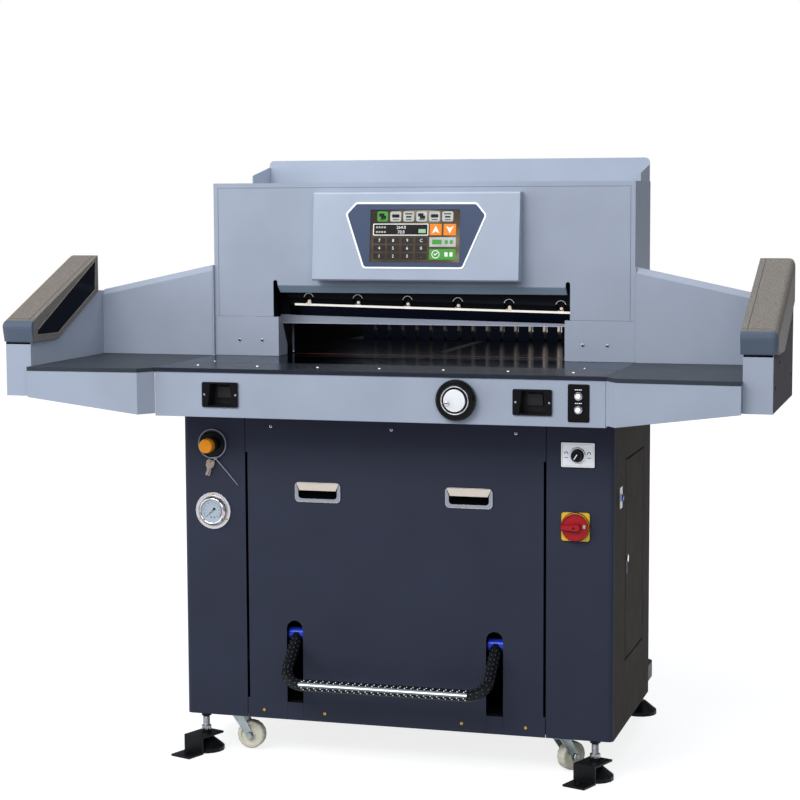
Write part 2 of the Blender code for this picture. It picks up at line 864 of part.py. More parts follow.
def main_table():
    """The polished table slab, wide in front of the head and narrow in the throat, on its cast bed."""
    wide, narrow = table_half_width, throat_half_width - sheet
    slab_front = front_plate_y - table_lip
    outline = [(-wide, slab_front), (wide, slab_front), (wide, slab_step), (narrow, slab_step),
               (narrow, head_back), (-narrow, head_back), (-narrow, slab_step), (-wide, slab_step)]
    table = prism("main_table", "Z", outline, slab_bottom, table_height)
    reach = column_inner - fit_gap
    join(table, block("bed", (-reach, reach), (beam_front, column_back),
                      (slab_bottom - bed_depth, slab_bottom + table_thickness / 2)))
    cut(table, block("ends", (narrow, reach + overrun), (beam_front - overrun, column_back + overrun),
                     (slab_bottom, table_height + overrun)),
        block("ends", (-reach - overrun, -narrow), (beam_front - overrun, column_back + overrun),
              (slab_bottom, table_height + overrun)))
    return cut(table, block("stick_groove", (-stick_half_length - fit_gap, stick_half_length + fit_gap),
                            (knife_line - stick_width / 2 - fit_gap, knife_line + stick_width / 2 + fit_gap),
                            (table_height - stick_height - fit_gap, table_height + overrun)))


def cutting_stick():
    return block("cutting_stick", (-stick_half_length, stick_half_length),
                 (knife_line - stick_width / 2, knife_line + stick_width / 2),
                 (table_height - stick_height, table_height))


def side_frame(name):
    """A cast side frame: column, step over the knife cylinder, leg and foot."""
    foot_top = base_top + column_foot_height
    outline = [(column_leg_front, base_top + fit_gap), (column_back + column_foot, base_top + fit_gap),
               (column_back + column_foot, foot_top), (column_back, foot_top + column_foot),
               (column_back, column_top - column_foot), (column_back - column_foot, column_top),
               (column_front, column_top), (column_front, column_leg_top + column_foot),
               (column_leg_front, column_leg_top)]
    return prism(name, "X", outline, column_inner, column_outer)


def cross_beam():
    """The beam between the side frames: a ribbed casting round the clamp's cylinder bore."""
    reach = column_inner - fit_gap
    beam = block("cross_beam", (-reach, reach), (beam_front, column_back), (beam_bottom, beam_top))
    near, far = clamp_boss_radius + beam_web, reach - beam_web
    middle = (near + far) / 2
    for low, high in ((near, middle - beam_web / 2), (middle + beam_web / 2, far)):
        for side in (-1, 1):
            cut(beam, block("bay", sorted((side * low, side * high)), (beam_front + beam_web, column_back + overrun),
                            (beam_bottom + beam_web, beam_top - beam_web)))
    boss_bottom = beam_bottom - clamp_boss_drop
    join(beam, rod("boss", "Z", (0, clamp_rod_y), clamp_boss_radius, boss_bottom, beam_top))
    return cut(beam, rod("bore", "Z", (0, clamp_rod_y), clamp_bore_radius, boss_bottom - overrun,
                         beam_top - beam_web / 2))


def clamp_beam():
    """The clamp: a bar with comb notches for the gauge's fingers, and its piston rod."""
    front, back = knife_line + clamp_front_gap, clamp_back
    top = clamp_bottom + clamp_height
    beam = block("clamp_beam", (-clamp_half_length, clamp_half_length), (front, back), (clamp_bottom, top))
    first = -gauge_pitch * (gauge_finger_count - 1) / 2
    for index in range(gauge_finger_count):
        middle = first + index * gauge_pitch
        cut(beam, block("notch", (middle - clamp_notch_width / 2, middle + clamp_notch_width / 2),
                        (back - clamp_notch_depth, back + overrun), (clamp_bottom - overrun, top + overrun)))
    return join(beam, rod("piston", "Z", (0, clamp_rod_y), clamp_rod_radius, top - clamp_depth / 2, clamp_rod_top))


def edge_height(x):
    """Height of the inclined cutting edge at x."""
    return (knife_edge_left + knife_edge_right) / 2 - edge_slope * (x - knife_shift)


def knife():
    """The blade: flat on its back, bevelled in front down to the inclined edge."""
    back, front = knife_line, knife_line - knife_thickness
    top = knife_edge_right + knife_height
    form = bmesh.new()
    ends = []
    for x in (knife_shift - knife_half_length, knife_shift + knife_half_length):
        edge = edge_height(x)
        profile = [(back, edge), (back, top), (front, top), (front, edge + knife_bevel_height)]
        ends.append([form.verts.new((x, y, z)) for y, z in profile])
        form.faces.new(ends[-1])
    for index in range(len(ends[0])):
        after = (index + 1) % len(ends[0])
        form.faces.new((ends[0][index], ends[0][after], ends[1][after], ends[1][index]))
    return hinge_at(make("knife", form), (pull_x, pull_y, pull_pin_z))


def knife_carrier():
    """The carrier: a plate with slotted bolt pockets under a thick crosshead that is forked for the pull rod."""
    back = knife_line - knife_thickness - fit_gap
    front = back - carrier_thickness
    left, right = knife_shift - carrier_half_width, knife_shift + carrier_half_width
    rise = knife_bevel_height + knife_strip
    outline = [(left, edge_height(left) + rise), (right, edge_height(right) + rise),
               (right, crosshead_top), (left, crosshead_top)]
    carrier = prism("knife_carrier", "Y", outline, front, back)
    join(carrier, block("crosshead", (-crosshead_half_width + knife_shift, crosshead_half_width),
                        (back - crosshead_thickness, back), (carrier_shoulder, crosshead_top)))
    for index in range(pocket_count):
        x = pocket_first_x + index * pocket_pitch
        z = edge_height(x) + rise + pocket_rise
        cut(carrier, rod("pocket", "Y", (x, z), pocket_radius, front - overrun, front + pocket_depth),
            block("slot", (x - pocket_slot_width / 2, x + pocket_slot_width / 2),
                  (front - overrun, front + pocket_depth), (z - pocket_slot_drop, z)))
    slot, half_bar = pull_bar_thickness / 2 + running_gap, pull_bar_width / 2
    cut(carrier, block("fork", (pull_x - half_bar - overrun / 2, pull_x + half_bar + overrun),
                       (pull_y - slot, pull_y + slot), (carrier_shoulder - overrun, pull_pin_z + pull_bar_width)),
        rod("bore", "Y", (pull_x, pull_pin_z), pull_pin_radius + running_gap, back - crosshead_thickness - overrun,
            pull_y + slot + overrun))
    return hinge_at(carrier, (pull_x, pull_y, pull_pin_z))


def pull_rod():
    """The bar that the knife cylinder pulls: eye end with its pin, flat bar and piston rod."""
    half, half_bar = pull_bar_width / 2, pull_bar_thickness / 2
    outline = [(pull_x - half, pull_bar_bottom), (pull_x + half, pull_bar_bottom),
               *arc((pull_x, pull_pin_z), half, 0, 180, 10)]
    bar = prism("pull_rod", "Y", outline, pull_y - half_bar, pull_y + half_bar)
    pin_front = knife_line - knife_thickness - crosshead_thickness
    join(bar, rod("pin", "Y", (pull_x, pull_pin_z), pull_pin_radius, pin_front, pull_y + half_bar + overrun / 2),
         block("coupling", (pull_x - half, pull_x + half), (pull_y - half, pull_y + half),
               (pull_bar_bottom - half, pull_bar_bottom + half)),
         rod("piston_rod", "Z", (pull_x, pull_y), piston_rod_radius, pull_bar_bottom - piston_rod_length,
             pull_bar_bottom))
    return hinge_at(bar, (pull_x, pull_y, pull_pin_z))


def knife_cylinder():
    """The knife's hydraulic cylinder on the base plate, open round its piston rod."""
    low, wall = base_top + fit_gap, cylinder_wall
    collar = cylinder_radius + wall / 2
    profile = [(low, 0), (low, collar), (low + wall, collar), (low + wall, cylinder_radius),
               (cylinder_top - 2 * wall, cylinder_radius), (cylinder_top - 2 * wall, collar),
               (cylinder_top, collar), (cylinder_top, 0)]
    barrel = turned("knife_cylinder", "Z", (pull_x, pull_y), profile)
    return cut(barrel, rod("bore", "Z", (pull_x, pull_y), piston_rod_radius + running_gap,
                           low + wall, cylinder_top + overrun))


def head_cover():
    """The head's sheet cover: a shell open behind and below, with the knife window and its folded lip."""
    half, front, back = head_half_width, head_front, head_back
    cover = block("head_cover", (-half, half), (front, back), (head_bottom, head_top))
    cut(cover, block("inside", (sheet - half, half - sheet), (front + sheet, back + overrun),
                     (head_bottom - overrun, head_top - sheet)))
    wide, narrow = window_half_width, window_half_width - window_slit_width
    slit = window_slit_width / 2
    slit_z = window_slit_top - slit
    outline = [(-wide, head_bottom - overrun), (wide, head_bottom - overrun), (wide, slit_z),
               *arc((wide - slit, slit_z), slit, 0, 180, 6)[1:], (narrow, window_top), (-narrow, window_top),
               (-narrow, slit_z), *arc((slit - wide, slit_z), slit, 0, 180, 6)[1:]]
    cut(cover, prism("window", "Y", outline, front - overrun, front + sheet + overrun))
    low = window_top - lip_drop
    lip = [(front, window_top), (front + lip_depth, low), (front + lip_depth, low + sheet),
           (front + sheet / 2, window_top + sheet)]
    return join(cover, prism("lip", "X", lip, -narrow, narrow))


def cheek_cover(name):
    """The right cheek: front sheet beside the throat, an outer return and a slanted inner one."""
    inner, outer = throat_half_width, head_half_width - fit_gap
    front, low, high = head_front, table_height + fit_gap, head_bottom - fit_gap
    outline = [(inner, front), (outer, front), (outer, head_back), (outer - sheet, head_back),
               (outer - sheet, front + sheet), (inner + sheet, front + sheet),
               (inner + sheet, front + cheek_return), (inner, front + cheek_return)]
    knee = head_bottom - cheek_slant
    past = front + cheek_return + overrun
    behind = [(front + cheek_return_top, high), (front + cheek_return, knee), (past, knee), (past, high + overrun),
              (front + cheek_return_top, high + overrun)]
    return cut(prism(name, "Z", outline, low, high),
               prism("slant", "X", behind, inner - overrun, inner + sheet + overrun))


def control_box():
    """The wedge-shaped control box on the head, with its edges eased and a seat for the screen."""
    back = head_front - fit_gap
    top_front, bottom_front = back - box_thin, back - box_thick
    outline = [(back, box_bottom), (bottom_front + box_edge, box_bottom), (bottom_front, box_bottom + box_edge),
               (top_front, box_top - box_edge), (top_front + box_edge, box_top), (back, box_top)]
    box = prism("control_box", "X", outline, -box_half_width, box_half_width)
    return cut(box, screen_block("seat", fit_gap, overrun))


def screen_block(name, grow, proud):
    """A slab in the box's slanted front where the screen lies, grown all round and standing proud."""
    tilt = math.atan2(box_thick - box_thin, box_top - box_bottom - 2 * box_edge)
    share = (screen_centre_z - box_bottom) / (box_top - box_bottom)
    front = head_front - fit_gap - box_thick + (box_thick - box_thin) * share
    half_width, half_height = screen_width / 2 + grow, screen_height / 2 + grow
    slab = block(name, (-half_width, half_width), (-proud, screen_recess + screen_depth + grow),
                 (-half_height, half_height))
    slab.data.transform(Matrix.Translation((0, front, screen_centre_z)) @ Matrix.Rotation(-tilt, 4, "X"))
    return slab


def touch_screen():
    return screen_block("touch_screen", 0, -screen_recess)


def rear_hood():
    """The cover behind the head: a shell with a floor, and walls that rise round a shallow open top."""
    half, front, back = hood_half_width, head_back + fit_gap, hood_back
    side = [(front, hood_bottom), (back, hood_bottom), (back, hood_wall_back), (front, hood_wall_front)]
    hood = prism("rear_hood", "X", side, -half, half)
    panel = round_rectangle((-half, half), (hood_bottom, hood_top), hood_corner)
    join(hood, prism("panel", "Y", panel, back - sheet, back))
    cut(hood, block("tray", (sheet - half, half - sheet), (front - overrun, back - sheet),
                    (hood_floor, hood_top + overrun)),
        block("inside", (sheet - half, half - sheet), (front - overrun, back - sheet),
              (hood_bottom - overrun, hood_floor - sheet)))
    return hood


def rear_table():
    """The table behind the throat, slotted for the gauge, with skirts, side guides and the screw's bearings."""
    half, front, back = rear_table_half_width, head_back + fit_gap, rear_table_back
    slot = rear_slot_width / 2
    outline = [(-half, front), (-slot, front), (-slot, back - rear_slot_end), (slot, back - rear_slot_end),
               (slot, front), (half, front), (half, back), (-half, back)]
    top = table_height
    table = prism("rear_table", "Z", outline, top - rear_table_thickness, top)
    skirt_top = top - rear_table_thickness / 2
    for side in (-1, 1):
        edges = sorted((side * half, side * (half - rear_skirt_thickness)))
        skirt = [(front, skirt_top), (front, top - rear_skirt), (back, top - rear_skirt / 2), (back, skirt_top)]
        guide_face = side * (throat_half_width + guide_margin)
        guide = block("guide", sorted((guide_face, guide_face + side * guide_thickness)),
                      (clamp_back + guide_gap, back), (top, top + guide_height))
        join(guide, block("root", sorted((guide_face, guide_face + side * guide_thickness)), (front, back),
                          (top - rear_table_thickness / 2, top + guide_height / 2)))
        join(table, prism("skirt", "X", skirt, *edges), guide)
    screw_z = top - screw_drop
    for low in (front, back - bearing_block_length):
        join(table, block("bearing", (-bearing_block_width / 2, bearing_block_width / 2),
                          (low, low + bearing_block_length), (screw_z - bearing_block_width / 3, skirt_top)))
    cut(table, rod("bore", "Y", (0, screw_z), screw_journal_radius + running_gap, front - overrun, back + overrun))
    return cut(table, block("mouth", (-slot, slot), (front - overrun, front + overrun),
                            (screw_z + bearing_block_width / 4, top + overrun)))


def lead_screw():
    """The gauge's lead screw: a thread rolled on the core between two plain journals."""
    z = table_height - screw_drop
    front, back = head_back + fit_gap, rear_table_back
    start, end = front + bearing_block_length + fit_gap, back - bearing_block_length - fit_gap
    step = screw_lead / screw_rows_per_turn
    rows = int((end - start) / step)
    form = bmesh.new()
    journal = screw_journal_radius
    rings = [[(front, journal)] * screw_sides, [(start, journal)] * screw_sides]
    for row in range(rows + 1):
        y = start + (end - start) * row / rows
        ring = []
        for side in range(screw_sides):
            phase = (y - start) / screw_lead - side / screw_sides
            wave = (1 + math.cos(2 * math.pi * phase)) / 2
            ring.append((y, screw_core_radius + (screw_crest_radius - screw_core_radius) * wave))
        rings.append(ring)
    rings += [[(end, journal)] * screw_sides, [(back, journal)] * screw_sides]
    loops = []
    for ring in rings:
        loop = []
        for side, (y, radius) in enumerate(ring):
            angle = 2 * math.pi * side / screw_sides
            loop.append(form.verts.new((radius * math.cos(angle), y, z + radius * math.sin(angle))))
        loops.append(loop)
    for near, far in zip(loops, loops[1:]):
        for side in range(screw_sides):
            after = (side + 1) % screw_sides
            form.faces.new((near[side], near[after], far[after]))
            form.faces.new((near[side], far[after], far[side]))
    form.faces.new(loops[0])
    form.faces.new(loops[-1])
    return hinge_at(make("lead_screw", form), (0, front, z))


def gauge_gap(middle, low, high, near, far):
    """One T-shaped gap between two fingers of the gauge."""
    head = table_height + gauge_lift + gauge_height * gauge_slot_head_share
    shoulder = head + gauge_slot_shoulder
    slim, wide = gauge_slot_width / 2, gauge_slot_head_width / 2
    outline = [(middle - slim, low), (middle + slim, low), (middle + slim, head), (middle + wide, shoulder),
               (middle + wide, high), (middle - wide, high), (middle - wide, shoulder), (middle - slim, head)]
    return prism("gap", "Y", outline, near, far)


def back_gauge():
    """The comb gauge: free fingers in front, rails at the back, and its foot, neck and lead-screw nut."""
    base = table_height + gauge_lift
    top = base + gauge_height
    front, back = gauge_face, gauge_face + gauge_depth
    gauge = block("back_gauge", (-gauge_half_width, gauge_half_width), (front, back), (base, top))
    rail = back - gauge_rail
    for index in range(1, gauge_finger_count):
        middle = (index - gauge_finger_count / 2) * gauge_pitch
        cut(gauge, gauge_gap(middle, base - overrun, top + overrun, front - overrun, rail),
            gauge_gap(middle, base + gauge_foot, top - gauge_foot, rail - overrun, back + overrun))
    nut_y, screw_z = front + nut_offset, table_height - screw_drop
    half = nut_width / 2
    join(gauge, block("foot", (-half, half), (rail + gauge_foot, nut_y + nut_length / 2), (base, base + gauge_foot)),
         block("neck", (-nut_neck_width / 2, nut_neck_width / 2), (nut_y - nut_length / 3, nut_y + nut_length / 3),
               (screw_z, base + gauge_foot / 2)),
         block("nut", (-half, half), (nut_y - nut_length / 2, nut_y + nut_length / 2),
               (screw_z - nut_height / 2, screw_z + nut_height / 2)))
    return cut(gauge, rod("bore", "Y", (0, screw_z), screw_crest_radius + running_gap, nut_y - nut_length,
                          nut_y + nut_length))


def side_table_outline(inset):
    """The side table's plan: it widens forward past the main table; inset pulls the front edges in."""
    return [(side_inner, front_plate_y - table_lip + inset), (side_bend, side_bend_y + inset),
            (side_outer, side_outer_y + inset)]


def side_table(name):
    edge = side_table_outline(0)
    outline = [*edge, (side_outer, side_back), (side_inner, side_back)]
    return prism(name, "Z", outline, slab_bottom, table_height)


def apron(name):
    """The painted front below the side table: a folded sheet whose lower edge slopes towards the arm."""
    front = side_table_outline(apron_inset)
    back = side_table_outline(apron_inset + sheet)
    outline = [*front, *reversed(back)]
    top = slab_bottom - fit_gap
    sheet_piece = prism(name, "Z", outline, apron_bottom_inner, top)
    run = side_outer - side_bend
    below = [(side_bend, apron_bottom_inner - overrun), (side_outer + overrun, apron_bottom_inner - overrun),
             (side_outer + overrun, apron_bottom_outer + (apron_bottom_outer - apron_bottom_inner) * overrun / run),
             (side_bend, apron_bottom_inner)]
    cut(sheet_piece, prism("slope", "Y", below, side_outer_y - overrun, 0))
    flange = [*side_table_outline(apron_inset), *reversed([(x, y + apron_flange) for x, y in front])]
    return join(sheet_piece, prism("flange", "Z", flange, top - sheet, top))


def back_panel(name):
    """The sheet behind a side table; its sloping top edge is folded back."""
    inner, outer = head_half_width + seam + sheet, side_outer
    low = table_height + fit_gap
    outline = [(inner, low), (outer, low), (outer, back_panel_top_outer - back_panel_return),
               (inner, back_panel_top_inner - back_panel_return)]
    front = side_back - sheet * 2
    panel = prism(name, "Y", outline, front, front + sheet)
    form = bmesh.new()
    ends = []
    for x, top in ((inner, back_panel_top_inner), (outer, back_panel_top_outer)):
        corner = top - back_panel_return
        profile = [(front, corner - sheet), (front, corner), (front + back_panel_return, top),
                   (front + back_panel_return, top - sheet), (front + sheet, corner - sheet)]
        ends.append([form.verts.new((x, y, z)) for y, z in profile])
        form.faces.new(ends[-1])
    for index in range(len(ends[0])):
        after = (index + 1) % len(ends[0])
        form.faces.new((ends[0][index], ends[0][after], ends[1][after], ends[1][index]))
    return join(panel, make("fold", form))


def arm(name):
    """The arm that carries the light curtain: a box whose top steps up with the housing."""
    outline = [(arm_front, arm_bottom), (arm_back, arm_bottom), (arm_back, arm_back_top),
               (arm_rise_y, arm_back_top), (arm_knee_y, arm_front_top), (arm_front, arm_front_top)]
    return prism(name, "X", outline, arm_inner, arm_outer)


def curtain_housing(name):
    """The slanted light-curtain housing on the arm, rounded outside, with a shallow seat for its window."""
    bottom = [(housing_front_bottom_y, arm_front_top + fit_gap), (arm_knee_y, arm_front_top + fit_gap),
              (housing_back_y, arm_back_top + fit_gap)]
    top = [(housing_back_y, housing_back_top), (housing_front_top_y, housing_front_top_z)]
    housing = prism(name, "X", bottom + top, housing_inner, housing_outer)
    form = bmesh.new()
    form.from_mesh(housing.data)
    near = fit_gap / 2
    soft = []
    for edge in form.edges:
        first, last = edge.verts
        outside = min(first.co.x, last.co.x) > housing_outer - near
        low = all(any(abs(vertex.co.z - z) + abs(vertex.co.y - y) < near for y, z in bottom) for vertex in edge.verts)
        front = abs(first.co.y - last.co.y) < near and first.co.y < housing_front_top_y + near
        if (outside and not low) or front:
            soft.append(edge)
    bmesh.ops.bevel(form, geom=soft, offset=housing_round, segments=4, profile=1 / 2, affect="EDGES")
    form.to_mesh(housing.data)
    form.free()
    return cut(housing, prism("seat", "X", window_outline, housing_inner - overrun, housing_inner + window_inset))


def pedal():
    """The U-shaped foot bar: two arms bent down from the cross rod, and the bar between them."""
    axis = Vector((0, pedal_axis_y, pedal_axis_z))
    bar = Vector((0, pedal_bar_y, pedal_bar_z))
    half = pedal_half_width
    slope = (bar - axis).normalized()
    bend = pedal_bend
    top = axis - slope * pedal_tube_radius
    points = [top + Vector((-half, 0, 0))]
    for side in (-1, 1):
        corner = bar + Vector((side * half, 0, 0))
        centre = corner - slope * bend - Vector((side * bend, 0, 0))
        turns = [math.radians(90 * step / 6) for step in range(7)]
        bent = [centre + Vector((side * bend * math.cos(turn), 0, 0)) + slope * bend * math.sin(turn)
                for turn in turns]
        points += bent if side < 0 else bent[::-1]
    points.append(top + Vector((half, 0, 0)))
    curve = bpy.data.curves.new("tube", "CURVE")
    curve.dimensions = "3D"
    curve.bevel_depth = pedal_tube_radius
    curve.bevel_resolution = 3
    curve.use_fill_caps = True
    spline = curve.splines.new("POLY")
    spline.points.add(len(points) - 1)
    for knot, point in zip(spline.points, points):
        knot.co = (*point, 1)
    tube = bpy.data.objects.new("tube", curve)
    bpy.context.collection.objects.link(tube)
    bpy.context.view_layer.update()
    mesh = bpy.data.meshes.new_from_object(tube.evaluated_get(bpy.context.evaluated_depsgraph_get()))
    bpy.data.objects.remove(tube)
    foot_bar = bpy.data.objects.new("pedal", mesh)
    bpy.context.collection.objects.link(foot_bar)
    weld = bmesh.new()
    weld.from_mesh(mesh)
    bmesh.ops.remove_doubles(weld, verts=weld.verts, dist=fit_gap / 10)
    bmesh.ops.recalc_face_normals(weld, faces=weld.faces)
    weld.to_mesh(mesh)
    weld.free()
    join(foot_bar, rod("cross_rod", "X", (pedal_axis_y, pedal_axis_z), pedal_rod_radius,
                       -pedal_rod_half_length, pedal_rod_half_length, small_sides))
    return hinge_at(foot_bar, axis)


def handwheel():
    """The gauge's handwheel: rim, raised ring, hub disc, finger knob, and the shaft through the plate."""
    back = front_plate_y - fit_gap
    face, edge = back - wheel_thickness, wheel_thickness / 5
    ring_face, disc_face = face - edge / 2, face - edge
    profile = [(back, 0), (back, wheel_radius - edge), (back - edge, wheel_radius), (face + edge, wheel_radius),
               (face, wheel_radius - edge), (face, wheel_ring_radius + edge), (ring_face, wheel_ring_radius),
               (ring_face, wheel_disc_radius), (disc_face, wheel_disc_radius - edge / 2), (disc_face, 0)]
    wheel = turned("handwheel", "Y", (wheel_x, wheel_z), profile)
    knob = rod("knob", "Y", (wheel_x + wheel_knob_x, wheel_z + wheel_knob_z), wheel_knob_radius,
               disc_face - wheel_knob_proud, disc_face + edge, small_sides)
    shaft = rod("shaft", "Y", (wheel_x, wheel_z), wheel_shaft_radius, back - edge, front_plate_y + wheel_radius,
                small_sides)
    return hinge_at(join(wheel, knob, shaft), (wheel_x, back, wheel_z))


def plunger(name, x, z, radius, face, seat, stem_radius, stem_end):
    """A push button: a cap with an eased face, and its stem."""
    edge = radius / 8
    profile = [(seat, 0), (seat, radius), (face + edge, radius), (face, radius - edge), (face, 0)]
    cap = turned(name, "Y", (x, z), profile)
    stem = rod("stem", "Y", (x, z), stem_radius, face + edge, stem_end, small_sides)
    return hinge_at(join(cap, stem), (x, seat, z))


def cut_button(name, side):
    """A two-hand cut button: a rounded oblong cap on a stem through the recess's floor."""
    floor = front_plate_y + recess_depth - recess_wall
    face, seat = floor - cut_button_proud, floor - cut_button_travel - fit_gap
    x, z = side * recess_x, recess_z + cut_button_z_shift
    half_width, half_height = cut_button_width / 2, cut_button_height / 2
    outline = round_rectangle((x - half_width, x + half_width), (z - half_height, z + half_height),
                              cut_button_corner)
    cap = prism(name, "Y", outline, face, seat)
    stem = rod("stem", "Y", (x, z), cut_button_stem, (face + seat) / 2, floor + overrun, small_sides)
    return hinge_at(join(cap, stem), (x, seat, z))


def push_button(name, z):
    return plunger(name, push_x, z, push_radius, front_plate_y - push_ring_proud - push_proud,
                   front_plate_y - push_travel - fit_gap, push_stem_radius, front_plate_y + overrun)


def amber_button():
    return plunger("amber_button", amber_x, amber_z, amber_radius, -amber_proud, -amber_travel - fit_gap,
                   amber_stem_radius, sheet + overrun)


def pressure_gauge():
    """The dial gauge: mounting flange, raised ring with its sunk glass, and the body behind the strip."""
    back = -fit_gap
    ring_face = back - dial_ring_proud
    profile = [(dial_body_depth, 0), (dial_body_depth, dial_glass_radius), (back, dial_glass_radius),
               (back, dial_flange_radius), (back - dial_flange, dial_flange_radius),
               (back - dial_flange, dial_ring_radius), (ring_face + dial_flange, dial_ring_radius),
               (ring_face, dial_ring_radius - dial_flange), (ring_face + dial_flange, dial_glass_radius),
               (ring_face + dial_flange, 0)]
    return turned("pressure_gauge", "Y", (gauge_dial_x, gauge_dial_z), profile)


def selector_knob():
    """The round selector knob on its flat base, with a grip ridge across the face."""
    back = -fit_gap
    face = back - selector_proud
    profile = [(back, 0), (back, selector_base_radius), (back - selector_base, selector_base_radius),
               (back - selector_base, selector_radius), (face + selector_base, selector_radius),
               (face + selector_base, 0)]
    knob = turned("selector_knob", "Y", (selector_x, selector_z), profile)
    ridge = block("ridge", (-selector_radius * ridge_share, selector_radius * ridge_share),
                  (face, face + selector_base * 2), (-selector_base, selector_base))
    ridge.data.transform(Matrix.Translation((selector_x, 0, selector_z)) @ Matrix.Rotation(selector_rest, 4, "Y"))
    stem = rod("stem", "Y", (selector_x, selector_z), selector_stem_radius, back - selector_base,
               sheet + overrun, small_sides)
    return hinge_at(join(knob, ridge, stem), (selector_x, back, selector_z))


def main_switch_plate():
    half = switch_plate_size / 2
    outline = round_rectangle((switch_x - half, switch_x + half), (switch_z - half, switch_z + half), switch_plate)
    plate = prism("main_switch_plate", "Y", outline, -fit_gap - switch_plate, -fit_gap)
    return cut(plate, rod("hole", "Y", (switch_x, switch_z), switch_stem_radius + running_gap, -overrun, overrun,
                          small_sides))


def main_switch_handle():
    """The main switch's disc with its grip bar, and the spindle through the plate and the cover."""
    back = -2 * fit_gap - switch_plate
    face, edge = back - switch_disc, switch_disc / 5
    profile = [(back, 0), (back, switch_disc_radius), (face + edge, switch_disc_radius),
               (face, switch_disc_radius - edge), (face, 0)]
    handle = turned("main_switch_handle", "Y", (switch_x, switch_z), profile)
    outline = round_rectangle((switch_x - switch_bar_length, switch_x + switch_disc_radius - edge),
                              (switch_z - switch_bar_width / 2, switch_z + switch_bar_width / 2), edge * 2)
    bar = prism("bar", "Y", outline, back - switch_bar_proud, face + edge)
    spindle = rod("spindle", "Y", (switch_x, switch_z), switch_stem_radius, face + edge, sheet + overrun, small_sides)
    return hinge_at(join(handle, bar, spindle), (switch_x, back, switch_z))


def foot(name):
    """A levelling foot: dished pad, neck, and its bolt with a nut under the base plate."""
    centre = feet[name]
    profile = [(0, 0), (0, foot_pad_radius), (foot_pad_rim, foot_pad_radius), (foot_pad_height, foot_neck_radius),
               (foot_pad_height, foot_bolt_radius), (base_top, foot_bolt_radius), (base_top, 0)]
    piece = turned(name, "Z", centre, profile, small_sides)
    nut_top = base_bottom - fit_gap
    nut = rod("nut", "Z", centre, foot_nut_radius, nut_top - foot_nut_height, nut_top, nut_sides)
    return join(piece, turn_about(nut, (*centre, 0), "Z", nut_turn))


def front_foot(name):
    """A front foot with its transport bracket: a stepped strap bolted to the floor ahead of it."""
    piece = foot(name)
    x, y = feet[name]
    low, thick = foot_pad_height + bracket_thickness, bracket_thickness
    ahead, toe = y - bracket_plate_distance, y - bracket_plate_distance - bracket_flange
    outline = [(y + bracket_rear, low), (y + bracket_rear, low + thick), (ahead, low + thick), (ahead, thick),
               (toe, thick), (toe, 0), (ahead + thick, 0), (ahead + thick, low)]
    strap = prism("strap", "X", outline, x - bracket_width / 2, x + bracket_width / 2)
    bolt_head = rod("bolt_head", "Z", (x, (ahead + toe) / 2), bracket_bolt_radius, thick / 2,
                    thick + bracket_bolt_height, nut_sides)
    turn_about(join(strap, bolt_head), (x, y, 0), "Z", bracket_turn)
    nut = rod("nut", "Z", (x, y), foot_nut_radius, low + thick / 2, low + thick + foot_nut_height, nut_sides)
    return join(piece, join(strap, turn_about(nut, (x, y, 0), "Z", nut_turn)))


def caster_fork(name, x, y, turn):
    """A caster's fork: round head, two cheeks slanting back to the axle, and the axle itself."""
    top = base_bottom - fit_gap
    low = top - caster_head_height
    fork = rod(name, "Z", (x, y), caster_head_radius, low, top)
    axle_x, half = x + caster_trail, caster_fork_width / 2
    outline = [(x - half, low + caster_fork_sheet), (x - half, low), (axle_x - half, caster_axle_z),
               *arc((axle_x, caster_axle_z), half, 180, 360, 8)[1:], (x + half * 2, low),
               (x + half * 2, low + caster_fork_sheet)]
    inner = caster_wheel_width / 2 + caster_fork_gap
    outer = inner + caster_fork_sheet
    for low_y, high_y in ((y - outer, y - inner), (y + inner, y + outer)):
        join(fork, prism("cheek", "Y", outline, low_y, high_y))
    join(fork, rod("axle", "Y", (axle_x, caster_axle_z), caster_axle_radius, y - outer - caster_fork_sheet,
                   y + outer + caster_fork_sheet, small_sides))
    turn_about(fork, (x, y, 0), "Z", turn)
    return hinge_at(fork, (x, y, low))


def caster_wheel(name, x, y, turn):
    """A caster wheel: rounded tread, a sunk face on either side and a hub on the axle."""
    half, edge = caster_wheel_width / 2, caster_wheel_width / 8
    radius, rim = caster_wheel_radius, caster_wheel_radius - 3 * edge
    profile = [(y - half, 0), (y - half, caster_hub_radius), (y - half + edge, caster_hub_radius),
               (y - half + edge, rim), (y - half, rim), (y - half, radius - edge), (y - half + edge, radius),
               (y + half - edge, radius), (y + half, radius - edge), (y + half, rim), (y + half - edge, rim),
               (y + half - edge, caster_hub_radius), (y + half, caster_hub_radius), (y + half, 0)]
    axle_x = x + caster_trail
    wheel = turned(name, "Y", (axle_x, caster_axle_z), profile, small_sides)
    cut(wheel, rod("bore", "Y", (axle_x, caster_axle_z), caster_axle_radius + running_gap, y - half - overrun,
                   y + half + overrun, small_sides))
    turn_about(wheel, (x, y, 0), "Z", turn)
    return hinge_at(wheel, (x + caster_trail * math.cos(turn), y + caster_trail * math.sin(turn), caster_axle_z))


def oil_tank():
    """The oil tank on the base plate, under an overlapping lid."""
    low, top = base_top + fit_gap, base_top + tank_height
    left, right, lip = tank_x - tank_half_width, tank_x + tank_half_width, tank_lid_lip
    tank = block("oil_tank", (left, right), (tank_front, tank_back), (low, top - tank_lid / 2))
    return join(tank, block("lid", (left - lip, right + lip), (tank_front - lip, tank_back + lip),
                            (top - tank_lid, top)))


